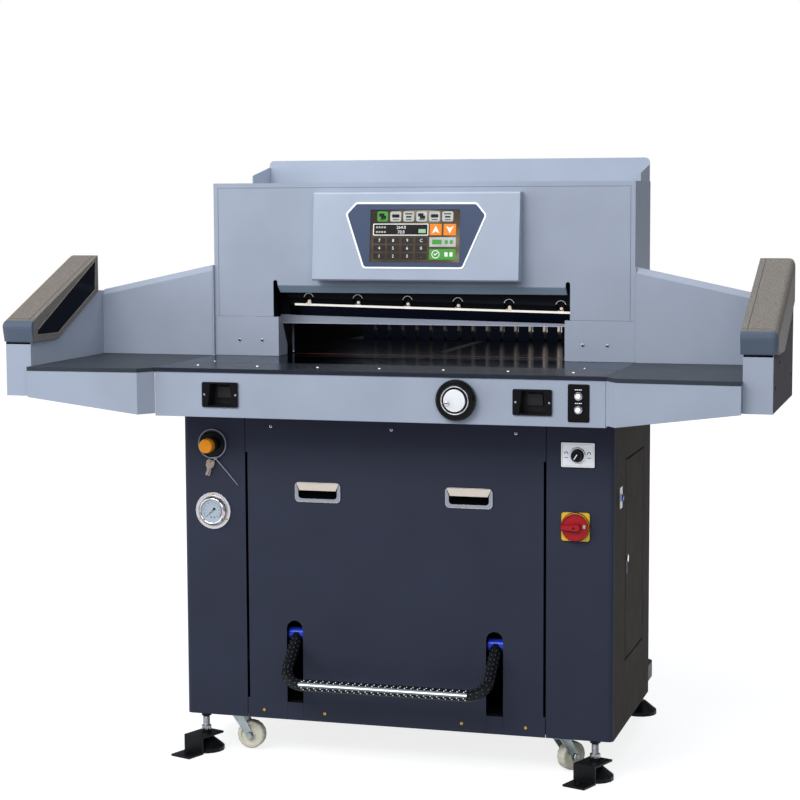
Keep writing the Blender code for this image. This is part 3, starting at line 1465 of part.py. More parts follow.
def pump_motor():
    """The finned motor lying on the tank's lid, with the pump on its end."""
    lid = base_top + tank_height + fit_gap
    y, z = (tank_front + tank_back) / 2, lid + motor_foot_height + motor_radius
    start = tank_x - tank_half_width + tank_lid_lip
    end = start + motor_length
    outline, pitch = [], 360 / motor_fin_count
    for index in range(motor_fin_count):
        for share, radius in ((0, motor_radius - motor_fin_height), (1 / 2, motor_radius - motor_fin_height),
                              (1 / 2, motor_radius), (1, motor_radius)):
            outline += arc((y, z), radius, (index + share) * pitch, (index + share) * pitch, 1)[:1]
    motor = prism("pump_motor", "X", outline, start, end)
    half_foot = motor_radius - motor_fin_height
    return join(motor, block("foot", (start + motor_fin_height, end - motor_fin_height),
                             (y - half_foot, y + half_foot), (lid, lid + motor_foot_height)),
                block("web", (start + motor_fin_height, end - motor_fin_height),
                      (y - half_foot / 2, y + half_foot / 2), (lid, z)),
                rod("pump", "X", (y, z), pump_radius, end - motor_fin_height, end + pump_length))


def build():
    """Builds every piece, paints it, and hangs them all on one empty in the middle of the footprint."""
    left_caster = (caster_left_x, caster_left_y, caster_left_turn)
    right_caster = (caster_right_x, caster_right_y, caster_right_turn)
    pieces = [
        (base_plate(), "black_steel"), (cross_beam(), "iron"), (cabinet_left(), "cabinet"),
        (cabinet_right(), "cabinet"), (front_panel(), "cabinet"), (pull_handle("panel_handle_left", -1), "black"),
        (pull_handle("panel_handle_right", 1), "black"), (side_door(), "cabinet"), (door_lock(), "chrome"),
        (cabinet_back(), "cabinet"), (table_front(), "body"), (main_table(), "table"), (head_cover(), "body"),
        (control_box(), "box"), (touch_screen(), "glass"), (rear_hood(), "hood"), (knife_carrier(), "carrier"),
        (knife(), "blade"), (clamp_beam(), "iron"), (cutting_stick(), "stick"), (back_gauge(), "iron"),
        (lead_screw(), "steel"), (rear_table(), "table"), (pedal(), "black_steel"), (handwheel(), "black"),
        (cut_button("cut_button_left", -1), "black"), (cut_button("cut_button_right", 1), "black"),
        (push_button("push_button_upper", push_upper_z), "steel"),
        (push_button("push_button_lower", push_lower_z), "steel"), (selector_knob(), "black"),
        (main_switch_plate(), "yellow"), (main_switch_handle(), "red"), (amber_button(), "amber"),
        (pressure_gauge(), "chrome"), (front_foot("foot_front_left"), "black_steel"),
        (front_foot("foot_front_right"), "black_steel"), (foot("foot_rear_left"), "black_steel"),
        (foot("foot_rear_right"), "black_steel"), (caster_fork("caster_fork_left", *left_caster), "zinc"),
        (caster_fork("caster_fork_right", *right_caster), "zinc"),
        (caster_wheel("caster_wheel_left", *left_caster), "nylon"),
        (caster_wheel("caster_wheel_right", *right_caster), "nylon"), (oil_tank(), "motor"),
        (pump_motor(), "motor"), (knife_cylinder(), "iron"), (pull_rod(), "steel"),
    ]
    for right, finish in (
            (side_frame("side_frame_right"), "iron"), (cheek_cover("cheek_cover_right"), "body"),
            (side_table("side_table_right"), "table"), (apron("apron_right"), "body"),
            (back_panel("back_panel_right"), "body"), (arm("arm_right"), "body"),
            (curtain_housing("curtain_housing_right"), "housing")):
        pieces += [(right, finish), (mirror_x(right, right.name.replace("right", "left")), finish)]
    machine = bpy.data.objects.new("machine", None)
    bpy.context.collection.objects.link(machine)
    machine.location = (0, -(side_outer_y + rear_table_back) / 2, 0)
    for piece, finish in pieces:
        tidy(piece)
        paint(piece, finish)
        piece.parent = machine


for old in list(bpy.data.objects):
    bpy.data.objects.remove(old)
build()
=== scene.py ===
"""Looks of the hydraulic paper cutter: finishes, fasteners, seams, screen and small trim.

Metres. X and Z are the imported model's own. Y is written here as the distance behind the cabinet's
front face, and at() moves it into the model's frame.
"""
import math

import bmesh
import bpy
from mathutils import Matrix, Vector


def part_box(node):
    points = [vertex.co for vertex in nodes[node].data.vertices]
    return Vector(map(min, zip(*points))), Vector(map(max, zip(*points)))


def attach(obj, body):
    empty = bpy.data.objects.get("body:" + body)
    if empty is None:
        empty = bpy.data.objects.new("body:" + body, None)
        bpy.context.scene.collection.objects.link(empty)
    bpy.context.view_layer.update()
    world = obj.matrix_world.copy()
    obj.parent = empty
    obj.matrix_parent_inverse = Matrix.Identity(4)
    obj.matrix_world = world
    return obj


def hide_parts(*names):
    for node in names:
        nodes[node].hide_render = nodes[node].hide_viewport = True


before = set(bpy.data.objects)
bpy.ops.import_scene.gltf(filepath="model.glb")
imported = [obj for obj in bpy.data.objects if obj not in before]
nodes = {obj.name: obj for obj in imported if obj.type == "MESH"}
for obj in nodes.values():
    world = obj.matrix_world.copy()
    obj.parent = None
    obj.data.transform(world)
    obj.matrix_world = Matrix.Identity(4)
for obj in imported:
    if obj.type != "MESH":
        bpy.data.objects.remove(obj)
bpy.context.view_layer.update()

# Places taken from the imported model, and the small gap under what lies on a face
cabinet_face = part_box("cabinet_left")[0].y
table_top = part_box("main_table")[1].z
hair = 0.0002


def at(x, y, z):
    """A point given from the cabinet's front face, in the model's frame."""
    return Vector((x, y + cabinet_face, z))


# Camera, as the photograph was taken
camera_place = at(1.3404, -4.5295, 1.3525)
camera_yaw, camera_pitch, camera_roll = 0.2838, -0.0998, -0.0043
camera_lens, camera_sensor, camera_reach = 90.72, 36, 100

# Floor and light
floor_size, floor_shade, floor_rough = 30.0, (0.3, 0.31, 0.33, 1), 0.9
floor_lift, lift_start, lift_end = 0.82, 0.9, 2.4
world_shade, white = (0.235, 0.25, 0.27, 1), (1, 1, 1, 1)


# Node graphs of the finishes, each kept under its material's name
finishes = {}


def linear(value):
    """Turns one display colour channel, 0 to 255, into the linear value that a shader takes."""
    share = value / 255
    return share / 12.92 if share <= 0.04045 else ((share + 0.055) / 1.055) ** 2.4


def colour(*channels, share=0.0):
    """A shader colour from display channels, made lighter or darker by a share."""
    return (*[min(1, linear(channel) * (1 + share)) for channel in channels], 1)


def feed(tree, node, values):
    """Sets a node's inputs: a socket is linked to them, anything else is their own value."""
    for key, value in values.items():
        if isinstance(value, bpy.types.NodeSocket):
            tree.links.new(value, node.inputs[key])
        else:
            node.inputs[key].default_value = value


def add_node(tree, kind, values, **properties):
    made = tree.nodes.new("ShaderNode" + kind)
    for key, value in properties.items():
        setattr(made, key, value)
    feed(tree, made, values)
    return made


class Graph:
    """A material's node tree with short names for what the finishes below use."""

    def __init__(self, name):
        finishes[name] = bpy.data.materials.new(name)
        finishes[name].use_nodes = True
        self.tree = finishes[name].node_tree

    def node(self, kind, values, **properties):
        return add_node(self.tree, kind, values, **properties)

    def shade(self, values):
        """Sets the surface shader's own inputs."""
        feed(self.tree, self.tree.nodes["Principled BSDF"], values)

    def point(self):
        """The surface point in metres."""
        return self.node("TexCoord", {}).outputs["Object"]

    def axis(self, name):
        return self.node("SeparateXYZ", {0: self.point()}).outputs[name]

    def noise(self, scale, detail=3, stretch=(1, 1, 1)):
        """Noise in metres, stretched to draw it out along an axis."""
        place = self.node("Mapping", {"Scale": stretch, "Vector": self.point()}).outputs["Vector"]
        return self.node("TexNoise", {"Scale": scale, "Detail": detail, "Vector": place}).outputs["Fac"]

    def ramp(self, factor, *stops):
        made = self.node("ValToRGB", {"Fac": factor})
        elements = made.color_ramp.elements
        for element, (place, shade) in zip(list(elements), stops):
            element.position, element.color = place, shade
        for place, shade in stops[2:]:
            elements.new(place).color = shade
        return made.outputs["Color"]

    def mottled(self, factor, rgb, share, low, high):
        """A colour that drifts a share darker and lighter with a factor."""
        return self.ramp(factor, (low, colour(*rgb, share=-share)), (high, colour(*rgb, share=share)))

    def spread(self, factor, low, high):
        return self.node("MapRange", {"To Min": low, "To Max": high, "Value": factor}).outputs["Result"]

    def relief(self, height, strength, distance, edge=0.0):
        """Bump, and softly rounded edges under it where edge gives their radius."""
        values = {"Strength": strength, "Distance": distance, "Height": height}
        if edge:
            values["Normal"] = self.node("Bevel", {"Radius": edge}, samples=4).outputs["Normal"]
        self.shade({"Normal": self.node("Bump", values).outputs["Normal"]})


def enamel(name, rgb, rough=0.42, grain=1400, depth=0.00006, strength=0.25, edge=0.0012, mottle=0.05,
        metallic=0.0, shine=0.3):
    """Sprayed or powder-coated sheet: faint mottle, fine orange peel and softened edges."""
    graph = Graph(name)
    graph.shade({
        "Base Color": graph.mottled(graph.noise(7, 4), rgb, mottle, 0.3, 0.7),
        "Roughness": graph.spread(graph.noise(22, 5), rough - 0.05, rough + 0.05),
        "Metallic": metallic,
        "Specular IOR Level": shine,
    })
    graph.relief(graph.noise(grain, 2), strength, depth, edge)


def metal(name, rgb, rough=0.28, stretch=(1, 1, 1), scale=260, mottle=0.08, depth=0.00004, strength=0.2,
        edge=0.0006, tint=white):
    """Bare metal: brushed or turned lines, uneven gloss and softened edges."""
    graph = Graph(name)
    lines = graph.noise(scale, 5, stretch)
    graph.shade({
        "Base Color": graph.mottled(lines, rgb, mottle, 0.25, 0.75),
        "Roughness": graph.spread(graph.noise(30, 4), rough - 0.06, rough + 0.08),
        "Metallic": 1.0,
        "Specular Tint": tint,
    })
    graph.relief(lines, strength, depth, edge)


def plastic(name, rgb, rough=0.4, mottle=0.04, glow=0.0, shine=0.3):
    """Moulded plastic: fine grain, slight mottle and softened edges."""
    graph = Graph(name)
    graph.shade({
        "Base Color": graph.mottled(graph.noise(40, 3), rgb, mottle, 0.3, 0.7),
        "Roughness": graph.spread(graph.noise(60, 3), rough - 0.04, rough + 0.06),
        "Specular IOR Level": shine,
    })
    if glow:
        graph.shade({"Emission Color": colour(*rgb), "Emission Strength": glow})
    graph.relief(graph.noise(2200, 2), 0.15, 0.00004, 0.0006)


def screen_finish():
    """The screen's lit background: a warm haze, lighter towards its left and upper edges."""
    graph = Graph("screen_picture")
    haze = graph.noise(6, 3, (1, 1, 1.6))
    shade = graph.ramp(haze, (0.3, colour(56, 47, 40)), (0.74, colour(176, 162, 130)),
        (0.52, colour(92, 80, 60)))
    graph.shade({
        "Base Color": shade,
        "Emission Color": shade,
        "Emission Strength": 0.1,
        "Roughness": graph.spread(graph.noise(40, 3), 0.1, 0.16),
    })
    graph.relief(graph.noise(900, 2), 0.05, 0.00002)


def housing_finish():
    """Coarse grey-beige coat, with a smooth blue-grey nose at the front end."""
    nose_end = -0.1812
    graph = Graph("housing_coat")
    speckle = graph.ramp(graph.noise(420, 3), (0.3, colour(82, 78, 74)), (0.7, colour(142, 135, 127)))
    behind = graph.node("Math", {0: graph.axis("Y"), 1: cabinet_face + nose_end}, operation="GREATER_THAN")
    blend = graph.node("Mix", {"Factor": behind.outputs[0], "A": colour(80, 92, 110), "B": speckle},
        data_type="RGBA")
    graph.shade({"Base Color": blend.outputs["Result"], "Roughness": 0.46, "Specular IOR Level": 0.25})
    graph.relief(graph.noise(520, 2), 0.9, 0.001, 0.0012)


def gap_finish():
    """Light seen through the comb's gaps: dark at the left, warm and bright at the right."""
    graph = Graph("gap_light")
    across = graph.node("MapRange", {"From Min": -0.34, "From Max": 0.34, "Value": graph.axis("X")})
    shade = graph.ramp(across.outputs["Result"], (0.0, colour(22, 22, 26)), (1.0, colour(226, 212, 200)),
        (0.4, colour(58, 56, 56)), (0.62, colour(112, 105, 100)), (0.84, colour(200, 188, 178)))
    graph.shade({
        "Base Color": colour(30, 30, 32),
        "Roughness": 0.5,
        "Emission Color": shade,
        "Emission Strength": 0.9,
    })
    graph.relief(graph.noise(600, 2), 0.2, 0.00004)


# Painted and coated finishes
screen_finish()
housing_finish()
gap_finish()
coarse = {"grain": 900, "depth": 0.00012, "strength": 0.5}
enamel("body_enamel", (159, 169, 187), 0.4, edge=0.0016)
enamel("box_enamel", (170, 181, 200), 0.36)
enamel("rear_enamel", (168, 178, 195))
enamel("rim_line", (126, 140, 162))
# A paler copy of the body's paint for the head's lip: painted light from below.
enamel("lip_painted_light", (176, 200, 222), 0.36)
enamel("bezel_blue", (62, 77, 106), 0.32)
enamel("guide_end", (112, 122, 150), 0.4)
enamel("clamp_paint", (160, 168, 186), 0.34, mottle=0.06)
enamel("cabinet_coat", (42, 47, 64), 0.55, mottle=0.07, shine=0.2, **coarse)
# The cabinet's sides: a darker, browner copy of its coat, painted shade and warm painted reflection.
enamel("flank_painted_shade", (40, 34, 29), 0.6, mottle=0.12, shine=0.03, **coarse)
enamel("cast_black", (26, 28, 36), 0.34, grain=300, depth=0.0006, strength=0.8, mottle=0.2, shine=0.07)
enamel("carrier_black", (8, 9, 13), 0.3, shine=0.05)
enamel("comb_iron", (40, 45, 62), 0.4, mottle=0.1, shine=0.1)
enamel("table_band", (27, 31, 39), 0.24, mottle=0.06, shine=0.13)
enamel("wing_steel", (48, 55, 63), shine=0.2)
enamel("rear_steel", (24, 26, 31), 0.6, shine=0.12)
enamel("black_steel", (16, 17, 21), shine=0.15)
enamel("blue_rod", (34, 62, 186), 0.3, metallic=0.3)
enamel("motor_paint", (52, 76, 108), 0.46)
enamel("tank_paint", (60, 72, 92), 0.46)

# Bare and plated metals
table_tint = (0.42, 0.46, 0.52, 1)
satin = {"scale": 200, "mottle": 0.04, "depth": 0.00001, "strength": 0.05}
metal("table_steel", (46, 51, 62), 0.11, (1, 14, 1), 90, 0.1, 0.00002, 0.08, 0.0012, table_tint)
metal("rear_polish", (168, 162, 156), 0.2, (1, 14, 1), 90, 0.1, 0.00002, 0.1)
metal("machined_iron", (70, 72, 78), 0.42, (1, 1, 10), 150, 0.16)
metal("blade_steel", (58, 62, 78), 0.24, (12, 1, 1), 120, 0.14)
metal("turned_steel", (166, 168, 174), 0.28, (1, 1, 30), 150, 0.08)
metal("recess_steel", (96, 104, 116), 0.34, (1, 1, 12), 120, 0.1)
metal("chrome", (186, 188, 194), 0.12, scale=60, mottle=0.02, depth=0.00001, strength=0.04, edge=0.0008)
metal("zinc_plate", (158, 168, 170), 0.34, scale=90, mottle=0.14)
metal("brass", (196, 160, 84), 0.3)
metal("key_steel", (150, 138, 128), 0.34, scale=200, mottle=0.12)
metal("satin_disc", (228, 230, 234), 0.42, scale=60, mottle=0.04)
metal("satin_steel", (176, 166, 162), 0.36, **satin)
metal("pull_chrome", (146, 150, 164), 0.26, **satin)
metal("pull_lip", (206, 197, 186), 0.3, **satin)

# Plastics, small bright marks and the screen's colours
plastic("black_plastic", (22, 22, 25), 0.42)
plastic("gloss_black", (12, 12, 15), 0.2, mottle=0.01, shine=0.12)
# Near-black for the side door's joint, and painted shade in openings, recesses and the throat.
plastic("dark_joint_and_painted_shade", (6, 6, 8), 0.8, shine=0.02)
plastic("seam_shadow", (30, 33, 40), 0.7)
# Painted shade on the tables in the throat, under the head.
plastic("throat_painted_shade", (11, 12, 16), 0.16, mottle=0.1, shine=0.1)
# A darker copy of the body's paint on the arms' outer faces: painted shade.
plastic("arm_side_painted_shade", (122, 117, 120), 0.6, mottle=0.06, shine=0.0)
plastic("curtain_window", (11, 13, 27), 0.12, mottle=0.03, shine=0.02)
plastic("housing_edge", (168, 160, 150), 0.35)
plastic("clamp_edge", (206, 212, 224), 0.28)
plastic("red_stick", (150, 28, 34), 0.45)
# Glowing red: painted light of the cutting line on the stick.
plastic("cut_line_painted_light", (226, 24, 20), 0.3, glow=0.4)
plastic("switch_red", (164, 16, 30), 0.34)
plastic("switch_yellow", (226, 184, 50), 0.36)
plastic("amber_cap", (240, 150, 22), 0.3)
plastic("cream_nylon", (226, 223, 206), 0.46)
plastic("nylon_tie", (146, 148, 160), 0.34)
plastic("dial_face", (176, 190, 204), 0.3, mottle=0.02)
# White with a glow: painted light on the push marks and caps, the bezel's rim and the selector's plate.
plastic("white_with_painted_glow", (244, 246, 252), 0.36, glow=0.22)
# Glowing white: painted highlights and reflections on the knife's bevel, the table's balls and the pedal's
# bar.
plastic("painted_highlight_white", (252, 248, 240), 0.3, mottle=0.02, glow=0.85)
# Pale pins with a painted glow.
plastic("pin_painted_glow", (232, 214, 198), 0.3, mottle=0.02, glow=0.35)
# The pedal's white dots, and painted highlights on the pockets' rims and walls, all with a painted glow.
plastic("white_dot_and_painted_highlight", (236, 240, 244), 0.3, mottle=0.01, glow=0.2)
# A darker copy of the white dots for the pedal's arms: painted shade.
plastic("dot_painted_shade", (84, 92, 104), 0.3, mottle=0.1)
# A soft painted highlight under the pedal's bright strip.
plastic("glint_soft", (96, 110, 124), 0.3, mottle=0.1, glow=0.1)
# The key_ finishes glow as parts of the lit screen. The selector's pointer and line, the socket plate and
# the switch marker reuse them, and there the glow is painted light.
plastic("key_silver", (186, 190, 188), 0.22, mottle=0.12, glow=0.1)
plastic("key_green", (74, 152, 66), 0.22, mottle=0.08, glow=0.18)
plastic("key_mint", (150, 190, 150), 0.22, glow=0.18)
plastic("key_orange", (232, 132, 40), 0.22, mottle=0.08, glow=0.22)
plastic("key_white", (232, 234, 232), 0.22, glow=0.28)
plastic("key_grey", (176, 176, 172), 0.22, glow=0.15)
plastic("key_dark", (30, 27, 26), 0.2)
plastic("key_smoke", (52, 48, 48), 0.2, mottle=0.16)

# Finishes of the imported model's own nodes
paired = "left", "right"
node_finish = {
    "body_enamel": ["table_front", "head_cover"],
    "box_enamel": ["control_box"],
    "rear_enamel": ["rear_hood"],
    "cabinet_coat": ["cabinet_left", "cabinet_right", "front_panel", "side_door", "cabinet_back"],
    "black_steel": ["base_plate", "clamp_beam", "pedal"],
    "machined_iron": ["cross_beam", "knife_cylinder"],
    "chrome": ["door_lock", "pressure_gauge"],
    "table_steel": ["main_table"],
    "gloss_black": ["touch_screen", "handwheel"],
    "black_plastic": ["selector_knob"],
    "turned_steel": ["push_button_upper", "push_button_lower", "pull_rod"],
    "carrier_black": ["knife_carrier"],
    "blade_steel": ["knife"],
    "red_stick": ["cutting_stick"],
    "comb_iron": ["back_gauge", "lead_screw"],
    "rear_steel": ["rear_table"],
    "switch_yellow": ["main_switch_plate"],
    "switch_red": ["main_switch_handle"],
    "amber_cap": ["amber_button"],
    "tank_paint": ["oil_tank"],
    "motor_paint": ["pump_motor"],
}
pair_finish = {
    "body_enamel": ["apron", "back_panel", "arm", "cheek_cover"],
    "housing_coat": ["curtain_housing"],
    "black_steel": ["side_frame", "foot_front", "foot_rear"],
    "pull_chrome": ["panel_handle"],
    "wing_steel": ["side_table"],
    "black_plastic": ["cut_button"],
    "zinc_plate": ["caster_fork"],
    "cream_nylon": ["caster_wheel"],
}
for finish, names in pair_finish.items():
    node_finish.setdefault(finish, []).extend(name + "_" + hand for name in names for hand in paired)
for finish, names in node_finish.items():
    for name in names:
        nodes[name].data.materials.clear()
        nodes[name].data.materials.append(finishes[finish])


# Small shapes, all drawn on a plane with its own right, up and outward directions
class Plane:
    """A flat face to draw on: right and up span it, and out points away from the machine."""

    def __init__(self, origin, right, up):
        self.origin = Vector(origin)
        self.right, self.up = Vector(right).normalized(), Vector(up).normalized()
        self.out = self.right.cross(self.up)

    def point(self, a, b, height=0.0):
        return self.origin + self.right * a + self.up * b + self.out * height


def facing_front(y):
    """The plane of a front face, a distance y behind the cabinet's front: X runs right and Z up."""
    return Plane(at(0, y, 0), (1, 0, 0), (0, 0, 1))


def facing_back(y):
    """The plane of a back face, a distance y behind the cabinet's front: X runs left and Z up."""
    return Plane(at(0, y, 0), (-1, 0, 0), (0, 0, 1))


def facing_side(way, x):
    """The plane of a face at x that looks right where way is 1 and left where it is -1."""
    return Plane(at(x, 0, 0), (0, way, 0), (0, 0, 1))


def facing_up(z):
    """The plane of a top face at height z: X runs right, and the distance behind the front up."""
    return Plane(at(0, 0, z), (1, 0, 0), (0, 1, 0))


def to_side(way, points):
    """Distances behind the cabinet's front with heights, as they lie on a side face."""
    return [(way * y, z) for y, z in points]


def rectangle(a0, a1, b0, b1):
    return [(a0, b0), (a1, b0), (a1, b1), (a0, b1)]


def both_sides(plane, a0, a1, b0, b1, low, high):
    """Slab rows of a rectangle and of its mirror image across the machine's middle."""
    return [(plane, rectangle(a0, a1, b0, b1), low, high), (plane, rectangle(-a1, -a0, b0, b1), low, high)]


def mm(*values):
    """Points in metres from pairs of millimetres: across and up, or radius and height."""
    return [(a / 1000, b / 1000) for a, b in zip(values[::2], values[1::2])]


def polar(centre, radius, degrees):
    turn = math.radians(degrees)
    return centre[0] + radius * math.cos(turn), centre[1] + radius * math.sin(turn)


def arc(centre, radius, start, end, steps):
    return [polar(centre, radius, start + (end - start) * step / steps) for step in range(steps + 1)]


def arc_band(centre, first, second, start, end, steps):
    """The outline between two arcs of their own radii."""
    return arc(centre, first, start, end, steps) + arc(centre, second, end, start, steps)


def ring(centre, radius, sides=32):
    return arc(centre, radius, 0, 360, sides)[:-1]


def rounded(low, high, radius, steps=5):
    """A rectangle with rounded corners between two opposite corner points."""
    (a0, b0), (a1, b1) = low, high
    points = []
    for a, b, start in ((a1 - radius, b0 + radius, -90), (a1 - radius, b1 - radius, 0),
            (a0 + radius, b1 - radius, 90), (a0 + radius, b0 + radius, 180)):
        points += arc((a, b), radius, start, start + 90, steps)
    return points


def grown(low, high, distance, radius, steps=5):
    """A rounded rectangle, a distance outside two corner points, or inside where it is negative."""
    (a0, b0), (a1, b1) = low, high
    return rounded((a0 - distance, b0 - distance), (a1 + distance, b1 + distance), radius, steps)


def spun(outline, centre, degrees):
    """An outline drawn round zero, turned and moved to a centre."""
    turn = Matrix.Rotation(math.radians(degrees), 2)
    return [tuple(Vector(centre) + turn @ Vector(point)) for point in outline]


def ring_of(form, plane, outline, height):
    """An outline's vertices at a height over a plane."""
    return [form.verts.new(plane.point(a, b, height)) for a, b in outline]


def joined(form, rings):
    """Faces between each ring of vertices and the next. A ring may be a single vertex."""
    for near, far in zip(rings, rings[1:]):
        sides = max(len(near), len(far))
        for i in range(sides):
            after = (i + 1) % sides
            corners = near[i % len(near)], near[after % len(near)], far[after % len(far)], far[i % len(far)]
            form.faces.new(list(dict.fromkeys(corners)))


def slab(form, plane, outline, low, high, holes=()):
    """A flat plate between two heights over a plane, with holes through it."""
    levels = []
    for height in (low, high):
        loops = [ring_of(form, plane, loop, height) for loop in (outline, *holes)]
        if holes:
            edges = [form.edges.new((loop[i - 1], loop[i])) for loop in loops for i in range(len(loop))]
            bmesh.ops.triangle_fill(form, edges=edges, use_beauty=True, normal=plane.out)
        else:
            form.faces.new(loops[0])
        levels.append(loops)
    for rings in zip(*levels):
        joined(form, rings)


def turned(form, plane, centre, profile, sides=32):
    """Revolves (radius, height) points about the plane's outward direction."""
    joined(form, [ring_of(form, plane, ring(centre, radius, sides) if radius else [centre], height)
        for radius, height in profile])


def bar(form, start, end, radius, sides=16):
    """A round bar between two points."""
    along = end - start
    side = along.orthogonal()
    profile = [(0, 0), (radius, 0), (radius, along.length), (0, along.length)]
    turned(form, Plane(start, side, along.cross(side)), (0, 0), profile, sides)


def placed(name, mesh, finish, body):
    """Puts a mesh of one finish into the scene, riding on a body."""
    mesh.materials.append(finishes[finish])
    made = bpy.data.objects.new(name, mesh)
    bpy.context.scene.collection.objects.link(made)
    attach(made, body)
    return made


def piece(name, finish, form, body="machine", smooth=35):
    """Turns a form into an object of one finish that rides on a body."""
    bmesh.ops.recalc_face_normals(form, faces=form.faces)
    mesh = bpy.data.meshes.new(name)
    form.to_mesh(mesh)
    form.free()
    mesh.shade_smooth()
    mesh.set_sharp_from_angle(angle=math.radians(smooth))
    return placed(name, mesh, finish, body)


def plates(name, finish, rows, body="machine"):
    """A piece of slabs, each given by its plane, outline, low and high side and its holes."""
    form = bmesh.new()
    for row in rows:
        slab(form, *row)
    return piece(name, finish, form, body)


def lathe(name, finish, rows, body="machine", smooth=35):
    """A piece of turned shapes, each given by its plane, centre, profile and sides."""
    form = bmesh.new()
    for row in rows:
        turned(form, *row)
    return piece(name, finish, form, body, smooth)


def pan_head(form, plane, centre, radius):
    """A low domed screw head with a hexagon socket."""
    height, socket = radius * 0.55, radius * 0.42
    turned(form, plane, centre, [(radius, 0), (radius, height * 0.35), (radius * 0.86, height * 0.8),
        (radius * 0.6, height), (socket, height)], 20)
    turned(form, plane, centre, [(socket, height), (socket * 0.95, height * 0.2), (0, height * 0.15)], 6)


def flat_head(form, plane, centre, radius):
    """A countersunk head, flush, with a shallow hexagon socket."""
    lift = 0.00025
    turned(form, plane, centre, [(radius, 0), (radius * 0.94, lift), (radius * 0.45, lift)], 20)
    turned(form, plane, centre, [(radius * 0.45, lift), (radius * 0.38, lift * 0.2), (0, lift * 0.1)], 6)


def screws(name, finish, plane, centres, radius=0.0042, head=pan_head):
    form = bmesh.new()
    for centre in centres:
        head(form, plane, centre, radius)
    return piece(name, finish, form)


def numeral(name, text, plane, centre, height, finish, lift):
    """Plain digits laid on a plane."""
    curve = bpy.data.curves.new(name, "FONT")
    curve.body = text
    curve.size = height * 1.4
    curve.align_x = "CENTER"
    curve.align_y = "CENTER"
    curve.resolution_u = 3
    letters = bpy.data.objects.new(name, curve)
    bpy.context.scene.collection.objects.link(letters)
    bpy.context.view_layer.update()
    mesh = bpy.data.meshes.new_from_object(letters.evaluated_get(bpy.context.evaluated_depsgraph_get()))
    bpy.data.objects.remove(letters)
    turn = Matrix((plane.right, plane.up, plane.out)).transposed().to_4x4()
    mesh.transform(Matrix.Translation(plane.point(*centre, lift)) @ turn)
    mesh.materials.clear()
    return placed(name, mesh, finish, "machine")


# Screws of the covers and the tables
front_plane, head_plane, top_plane = facing_front(0), facing_front(0.233), facing_up(table_top)
lip_plane = Plane(at(0, -0.1, 0.845), (1, 0, 0), (0, -1, 0))
panel_row = [(x, 0.809) for x in (-0.304, -0.002, 0.299)]
cheek_row = [(x, 0.999) for x in (-0.469, -0.409, 0.409, 0.469)]
lip_row = [(x, 0) for x in (-0.2395, 0.001, 0.242, 0.483)]
near_row = [(x, -0.073) for x in (-0.46, -0.31, -0.16, -0.009, 0.1445, 0.297, 0.448)]
far_row = [(x, 0.043) for x in (-0.463, 0.451)]
back_spots = [(x, z) for x in (-0.5, -0.25, 0, 0.25, 0.5) for z in (0.17, 0.82)]
hood_spots = [(x, z) for x in (-0.49, 0, 0.49) for z in (1.15, 1.34)]
table_front_edge, band_end, half_table = -0.1565, 0.031, 0.537


def cover_screws():
    """The covers' socket screws, and the table's dark band with its flat screws and balls that glow white
    as painted highlights.
    """
    screws("panel_screws", "turned_steel", front_plane, panel_row)
    screws("cheek_screws", "turned_steel", head_plane, cheek_row)
    screws("table_screws", "gloss_black", top_plane, near_row + far_row, 0.0055, flat_head)
    screws("lip_screws", "black_steel", lip_plane, lip_row)
    screws("back_screws", "turned_steel", facing_back(0.505), back_spots)
    screws("hood_screws", "turned_steel", facing_back(0.586), hood_spots)
    socket = mm(1.7, 2.3, 1.7, 2.6, 0, 2.6)
    sockets = [(front_plane, spot, socket, 6) for spot in panel_row]
    sockets += [(head_plane, spot, socket, 6) for spot in cheek_row]
    lathe("screw_sockets", "gloss_black", sockets)
    band = rectangle(-half_table, half_table, table_front_edge, band_end)
    plates("table_band", "table_band", [(top_plane, band, 0.00005, 0.00015)])
    balls = []
    for row, radius in ((near_row, 0.003), (far_row, 0.002)):
        dome = [(radius, 0.0001), (radius * 0.9, 0.001), (radius * 0.4, 0.0013), (0, 0.0013)]
        balls += [(top_plane, spot, dome, 16) for spot in row]
    lathe("table_balls", "painted_highlight_white", balls)


cover_screws()


# Recess plates round the two cut buttons, and their dark cups
recess_middle, recess_face, recess_depth = 0.372, -0.1565, 0.0393
recess_half, recess_foot, recess_top, recess_thick = 0.0455, 0.868, 0.928, 0.0009


def recess_outline(middle, inset):
    """The cup's mouth, wider at its foot."""
    foot, brow = 0.031 - inset, 0.025 - inset
    return [(middle - foot, 0.872 + inset), (middle + foot, 0.872 + inset), (middle + brow, 0.924 - inset),
        (middle - brow, 0.924 - inset)]


def recess(middle, name):
    face, floor = facing_front(recess_face), facing_front(recess_face + recess_depth)
    corners = (middle - recess_half, recess_foot), (middle + recess_half, recess_top)
    outer = rounded(*corners, 0.005)
    plates("recess_plate_" + name, "gloss_black",
        [(face, outer, hair, recess_thick, [recess_outline(middle, 0.0002)])])
    plates("recess_rim_" + name, "recess_steel",
        [(face, outer, recess_thick, 0.0011, [grown(*corners, -0.0008, 0.0042)])])
    form = bmesh.new()
    liner = recess_outline(middle, 0.0004)
    hole = rounded((middle - 0.0185, 0.8885), (middle + 0.0185, 0.9155), 0.002)
    joined(form, [ring_of(form, face, liner, height) for height in (0.0006, -recess_depth)])
    slab(form, floor, liner, 0, 0.0004, [hole])
    piece("recess_cup_" + name, "black_plastic", form)
    screws("recess_screws_" + name, "turned_steel", facing_front(recess_face - recess_thick),
        [(middle - 0.0385, 0.898), (middle + 0.0385, 0.898)], 0.0026)


recess(-recess_middle, "left")
recess(recess_middle, "right")


